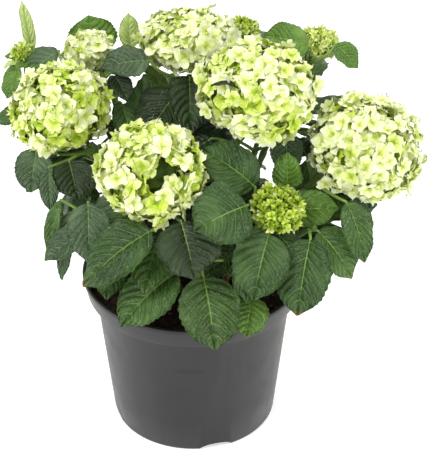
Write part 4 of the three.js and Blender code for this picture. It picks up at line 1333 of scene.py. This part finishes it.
def make_heads(finishes):
    """Every head's florets in three pieces, in place of the CAD heads, and their stalks and green insides."""
    sepal, eye = model_sepal(), model_eye()
    models = [model_floret(n, sepal, eye, CUP, 1) for n in range(VARIANTS)]
    buds = [model_floret(n + VARIANTS, sepal, eye, YOUNG_CUP, YOUNG_WIDTH) for n in range(VARIANTS)]
    ball, ball_faces = model_core()
    rays, cores = Parts(), Parts()
    groups = {"florets-full": Parts(), "florets-back": Parts(), "florets-young": Parts()}
    members = {name: [] for name in groups}
    for shoot in SHOOTS:
        if not shoot.r:
            continue
        kind = HEAD_LOOKS[shoot.name][0]
        full = "florets-back" if "back" in shoot.name else "florets-full"
        group = full if kind == "full" else "florets-young"
        members[group].append("head-" + shoot.name)
        add_head(shoot, groups[group], rays, buds if kind == "young" else models)
        # Young and open heads get the darker core, painted shade for the shadow deep among their florets.
        dark = kind == "young" or shoot.name in HEAD_GAPS
        core = shoot.r * (OPEN_CORE if dark else HEAD_KINDS[kind]["core"]) * ball * [1, 1, shoot.flat]
        core = shoot.centre + core @ turned_to(shoot.axis, shoot.number)
        cores.add(core, ball_faces, "dark_core" if dark else "core")
    for name, parts in groups.items():
        slot = "young_head" if name == "florets-young" else "head"
        parts.join(name, finishes, slot, members[name])
    rays.join("floret-stalks", finishes, "head")
    cores.join("head-cores", finishes, "head")


# ------------------------------------------------------------------ pot
POT_STEPS = 128
WALL = 1.9
FLOOR = 3
# The underside ends in a small flat disc of this radius, and stands FOOT_RISE clear of the ground.
MIDDLE_R = 4
FOOT_RISE = 2.2
# Drainage arches through the foot.
ARCH_COUNT = 4
ARCH_WIDTH = 34
ARCH_HEIGHT = 6.5
ARCH_DEPTH = 26
ARCH_FIRST = -74
ARCH_R = 87
ARCH_STEPS = 48
# The mould's marks: how high they lie, which way they face, half their angle, and half their thickness.
MARK_HEIGHTS = (110, 113)
MARK_TURN = -92
MARK_HALF = 9
MARK_THICK = 0.2
MARK_RINGS = 17
MARK_SIDES = 6
MARK_END = 0.12
# Edges sharper than this many degrees stay sharp.
SMOOTH_UNDER = 35


def body_radius(z):
    """The pot's radius outside, below its shoulder."""
    return POT_BOTTOM_R + (POT_BODY_TOP_R - POT_BOTTOM_R) * z / SHOULDER_Z


def band_radius(z):
    """The radius of the band round the pot's top, outside."""
    return BAND_BOTTOM_R + (RIM_R - BAND_BOTTOM_R) * (z - SHOULDER_Z) / (POT_HEIGHT - SHOULDER_Z)


def pot_outline():
    """Radius and height of the pot's outline, from the underside up, over the lip and down inside."""
    outside = [(MIDDLE_R, FOOT_RISE), (POT_BOTTOM_R - 14, FOOT_RISE), (POT_BOTTOM_R - 12, 0),
               (POT_BOTTOM_R - 2.2, 0), (POT_BOTTOM_R - 0.7, 0.6), (body_radius(2.4), 2.4)]
    outside += [(body_radius(z), z) for z in (40, 80, 120, 140, SHOULDER_Z - 3.2)]
    outside += [(POT_BODY_TOP_R + 0.2, SHOULDER_Z - 1.6), (POT_BODY_TOP_R + 1.6, SHOULDER_Z - 0.4),
                (BAND_BOTTOM_R - 1.4, SHOULDER_Z), (BAND_BOTTOM_R - 0.2, SHOULDER_Z + 0.6),
                (band_radius(SHOULDER_Z + 2), SHOULDER_Z + 2)]
    top = POT_HEIGHT
    outside += [(band_radius(top - 7), top - 7), (band_radius(top - 5.2) + 0.1, top - 5.2),
                (RIM_R + 0.3, top - 4.4), (RIM_R + 0.5, top - 1.6), (RIM_R + 0.1, top - 0.5),
                (RIM_R - 0.9, top)]
    inside = [(RIM_R - 2.2, top), (RIM_R - LIP, top - 0.8), (RIM_R - LIP - 0.2, top - 4),
              (band_radius(top - 6) - WALL - 0.4, top - 6),
              (band_radius(SHOULDER_Z + 4) - WALL, SHOULDER_Z + 4),
              (BAND_BOTTOM_R - WALL - 1, SHOULDER_Z + WALL), (POT_BODY_TOP_R - WALL, SHOULDER_Z + WALL - 0.4),
              (POT_BODY_TOP_R - WALL, SHOULDER_Z - 4), (body_radius(FLOOR) - WALL, FLOOR + 1),
              (body_radius(FLOOR) - WALL - 2, FLOOR + 0.4), (MIDDLE_R, FLOOR + 0.4)]
    return outside + inside


def turned_solid(name, outline, steps):
    """A closed turned piece: a ring is extruded and scaled along the outline, and filled at both ends."""
    start_clean()
    radius, height = outline[0]
    bpy.ops.mesh.primitive_circle_add(vertices=steps, radius=radius * MM, location=(0, 0, height * MM))
    piece = bpy.context.object
    piece.name = name
    bpy.ops.object.transform_apply()
    select_all()
    bpy.ops.mesh.edge_face_add()
    select_all()
    for (r0, z0), (r1, z1) in zip(outline, outline[1:]):
        extrude_by((z1 - z0) * MM)
        widen_by(r1 / r0, z1 * MM)
    select_all()
    bpy.ops.mesh.remove_doubles(threshold=1e-6)
    bpy.ops.mesh.normals_make_consistent(inside=False)
    bpy.ops.object.mode_set(mode="OBJECT")
    return piece


def cut_arch(pot, turn):
    """Cuts one drainage arch through the foot."""
    start_clean()
    bpy.ops.mesh.primitive_cylinder_add(vertices=ARCH_STEPS, radius=0.5, depth=1)
    cutter = bpy.context.object
    cutter.scale = (ARCH_WIDTH * MM, 2 * ARCH_HEIGHT * MM, ARCH_DEPTH * MM)
    cutter.rotation_euler = (math.pi / 2, 0, math.radians(turn - 90))
    cutter.location = ARCH_R * MM * heading(turn)
    bpy.ops.object.transform_apply()
    apply_modifier(pot, "BOOLEAN", "arch", operation="DIFFERENCE", object=cutter, solver="EXACT")
    bpy.data.objects.remove(cutter)


def pot_finish():
    """Black moulded plastic, a little dusty and streaked down its side."""
    plastic = Finish("pot_plastic", colour(20, 20, 21), 0.42, 0.4)
    plastic.mottle(plastic.noise(14, 3), colour(26, 26, 27), 0.4, 0.7)
    plastic.mottle(plastic.noise(26, 1, stretch=(1, 1, 0.03)), colour(34, 34, 34), 0.5, 0.72)
    plastic.mottle(plastic.noise(120, 3, stretch=(1, 1, 0.08)), colour(19, 19, 20), 0.5, 0.8)
    plastic.mottle(plastic.noise(900, 2), colour(36, 35, 34), 0.66, 0.74)
    plastic.vary_roughness(plastic.noise(45, 3), 0.36, 0.46)
    plastic.set("Coat Weight", 0.1)
    plastic.set("Coat Roughness", 0.3)
    plastic.relief(plastic.noise(60, 2, stretch=(1, 1, 0.1)), 0.00035, 0.5)
    plastic.relief(plastic.noise(1500, 2), 0.00012, 0.5)
    return plastic.material


def make_mould_marks(plastic):
    """The two faint lines that the mould leaves low on the front."""
    marks = Parts()
    for height in MARK_HEIGHTS:
        turns = np.linspace(MARK_TURN - MARK_HALF, MARK_TURN + MARK_HALF, MARK_RINGS)
        path = [body_radius(height) * heading(turn) + height * UP for turn in turns]
        thick = MARK_THICK * np.sin(np.linspace(MARK_END, math.pi - MARK_END, MARK_RINGS)) ** 0.5
        marks.add(*tube(path, thick, MARK_SIDES), "plastic")
    marks.join("pot-mould-marks", {"plastic": plastic}, "pot")


def make_pot():
    """The pot, turned and then pierced, in place of the CAD one, and its mould's marks."""
    plastic = pot_finish()
    pot = turned_solid("nursery-pot", pot_outline(), POT_STEPS)
    for i in range(ARCH_COUNT):
        cut_arch(pot, ARCH_FIRST + 360 / ARCH_COUNT * i)
    pot.data.materials.clear()
    pot.data.materials.append(plastic)
    start_clean()
    pot.select_set(True)
    bpy.context.view_layer.objects.active = pot
    bpy.ops.object.shade_smooth_by_angle(angle=math.radians(SMOOTH_UNDER))
    settle(pot, ["pot"])
    make_mould_marks(plastic)


# ------------------------------------------------------------------ compost
COMPOST_RINGS = 44
COMPOST_STEPS = 120
# Room between bed and pot, and how wide the bed's level edge is.
BED_GAP = 0.6
BED_EDGE = 1
BED_RIM = 0.1
BED_DEPTH = 12
BED_NARROWS = 0.9
# The bed's swells and lumps: how wide and how high they are, in metres, how finely they break up, and which
# level of them stays where the bed lies.
BED_RELIEF = {
    "swells": dict(size=0.045, depth=2, height=0.008, middle=0.55),
    "lumps": dict(size=0.009, depth=4, height=0.0055, middle=0.5),
}
# Crumbs strewn on the bed: how far in from its edge they lie, their size, how rough and how flat they are,
# how high they lie and how they are turned, and the share of them that is bark.
CRUMBS = 900
CRUMB_EDGE = 3
CRUMB_SIZE = [0.9, 2.2]
CRUMB_ROUGH = [0.7, 0.6]
CRUMB_SHAPE = [1, 0.7, 0.55]
CRUMB_RISE = 0.2
CRUMB_SCATTER = 1.4
CRUMB_UPRIGHT = 0.9
CRUMB_TURN = 6.3
BARK_SHARE = 0.24


def compost_finishes():
    """Dark fibrous peat, and the paler bark of some crumbs."""
    peat = Finish("peat_compost", colour(46, 32, 26), 0.95, 0.2)
    peat.mottle(peat.noise(150, 4), colour(24, 17, 14), 0.42, 0.6)
    peat.mottle(peat.noise(420, 3), colour(82, 56, 44), 0.58, 0.68)
    peat.relief(peat.noise(500, 4), 0.002, 0.9)
    crumb = Finish("bark_crumb", colour(92, 66, 50), 0.9, 0.2)
    crumb.mottle(crumb.noise(300), colour(52, 36, 28))
    return {"peat": peat.material, "crumb": crumb.material}


def flat_bed(edge):
    """A level disc at the compost's top, inset ring by ring."""
    start_clean()
    bpy.ops.mesh.primitive_circle_add(vertices=COMPOST_STEPS, radius=edge * MM,
                                      location=(0, 0, SOIL_TOP * MM), fill_type="NGON")
    bed = bpy.context.object
    bed.name = "compost-bed"
    bpy.ops.object.transform_apply()
    select_all()
    for ring in range(COMPOST_RINGS - 1):
        bpy.ops.mesh.extrude_region_move()
        widen_by(1 - 1 / (COMPOST_RINGS - ring), SOIL_TOP * MM)
    bpy.ops.object.mode_set(mode="OBJECT")
    return bed


def make_compost(finishes):
    """The pot's filling: a lumpy bed in place of the CAD one, with crumbs and bits of bark strewn on it."""
    edge = band_radius(SOIL_TOP) - WALL - BED_GAP
    bed = flat_bed(edge)
    group = bed.vertex_groups.new(name="bed")
    inside = [v.index for v in bed.data.vertices if v.co.xy.length < (edge - BED_EDGE) * MM]
    group.add(inside, 1.0, "REPLACE")
    for name, look in BED_RELIEF.items():
        pattern = clouds("compost_" + name, look["size"], look["depth"])
        apply_modifier(bed, "DISPLACE", name, texture=pattern, strength=look["height"],
                       mid_level=look["middle"], direction="Z", vertex_group="bed")
    select_where(lambda co: co.xy.length > (edge - BED_RIM) * MM)
    extrude_by(-BED_DEPTH * MM)
    widen_by(BED_NARROWS, 0)
    bpy.ops.mesh.edge_face_add()
    select_all()
    bpy.ops.mesh.normals_make_consistent(inside=False)
    bpy.ops.object.mode_set(mode="OBJECT")
    bed.data.materials.append(finishes["peat"])
    bpy.ops.object.shade_smooth()
    settle(bed, ["compost"])
    strew_crumbs(edge - CRUMB_EDGE, finishes)


def strew_crumbs(reach, finishes):
    """Rough little lumps, each turned and squashed its own way, within reach of the pot's middle."""
    start_clean()
    bpy.ops.mesh.primitive_ico_sphere_add(subdivisions=1, radius=1)
    shape, faces = take_shape(bpy.context.object)
    crumbs = Parts()
    for n in range(CRUMBS):
        out = reach * math.sqrt(wobble(3 * n + 1))
        turn = 2 * math.pi * wobble(3 * n + 2)
        least, spread = CRUMB_SIZE
        size = least + spread * wobble(5 * n + 7) ** 3
        rough = np.array([vary(31 * n + k, *CRUMB_ROUGH) for k in range(len(shape))])[:, None]
        lump = shape * rough * size * CRUMB_SHAPE
        upward = unit([wobble(n + 4) - 0.5, wobble(n + 9) - 0.5, CRUMB_UPRIGHT])
        axes = turned_to(upward, CRUMB_TURN * wobble(n + 3))
        rise = SOIL_TOP + vary(n + 6, CRUMB_RISE, CRUMB_SCATTER)
        crumbs.add(lump @ axes + [out * math.cos(turn), out * math.sin(turn), rise], faces,
                   "crumb" if wobble(n + 8) < BARK_SHARE else "peat")
    crumbs.join("compost-crumbs", finishes, "compost")


# ------------------------------------------------------------------ floor, light and camera
# All in metres.
FLOOR_SIZE = 14
FLOOR_SINK = 0.0005
FLOOR_GLOW = 0.55
DAYLIGHT = 0.78
# Each soft light's place, width and power.
LIGHTS = {
    "key-light": ((-1.1, -1.5, 2.3), 0.9, 29),
    "fill-light": ((1.8, -1.2, 1.3), 1.6, 11),
    "top-light": ((0.1, 0.5, 2.6), 1.6, 14),
}
LIGHT_TARGET = Vector((0, 0, 0.26))
VIEW_DISTANCE = 1.8
VIEW_ELEVATION = math.radians(32.5)
VIEW_TARGET = Vector((0.022, 0, 0.2253))
LENS = 140
SENSOR = 36


def make_floor():
    """White paper, a little lit up from itself, just under the pot."""
    start_clean()
    bpy.ops.mesh.primitive_plane_add(size=FLOOR_SIZE, location=(0, 0, -FLOOR_SINK))
    floor = bpy.context.object
    floor.name = "floor"
    bpy.ops.object.transform_apply()
    paper = Finish("floor_paper", colour(246, 246, 245), 0.9, 0.1)
    paper.mottle(paper.noise(1.5), colour(244, 244, 243))
    paper.set("Emission Color", (1, 1, 1, 1))
    paper.set("Emission Strength", FLOOR_GLOW)
    floor.data.materials.append(paper.material)


def make_stage():
    """A plain pale floor, broad soft lights and a camera that looks down on the plant."""
    make_floor()
    world = bpy.data.worlds.new("studio")
    world.use_nodes = True
    backdrop = world.node_tree.nodes["Background"].inputs
    backdrop["Color"].default_value = (1, 1, 1, 1)
    backdrop["Strength"].default_value = DAYLIGHT
    bpy.context.scene.world = world

    for name, (place, size, power) in LIGHTS.items():
        bpy.ops.object.light_add(type="AREA", location=place)
        lamp = bpy.context.object
        lamp.name = name
        lamp.data.size = size
        lamp.data.energy = power
        lamp.rotation_euler = (LIGHT_TARGET - Vector(place)).to_track_quat("-Z", "Y").to_euler()

    back = Vector((0, -math.cos(VIEW_ELEVATION), math.sin(VIEW_ELEVATION)))
    bpy.ops.object.camera_add(location=VIEW_TARGET + VIEW_DISTANCE * back)
    camera = bpy.context.object
    camera.rotation_euler = (-back).to_track_quat("-Z", "Y").to_euler()
    camera.data.lens = LENS
    camera.data.sensor_width = SENSOR
    camera.data.sensor_fit = "AUTO"
    bpy.context.scene.camera = camera
    bpy.context.scene.view_settings.view_transform = "Standard"


# ------------------------------------------------------------------ the whole
all_finishes = {**leaf_finishes(), **sepal_finishes(), **stem_finishes(), **compost_finishes()}

make_stage()
make_pot()
make_compost(all_finishes)
make_shoots(all_finishes)
make_leaves(all_finishes)
make_heads(all_finishes)
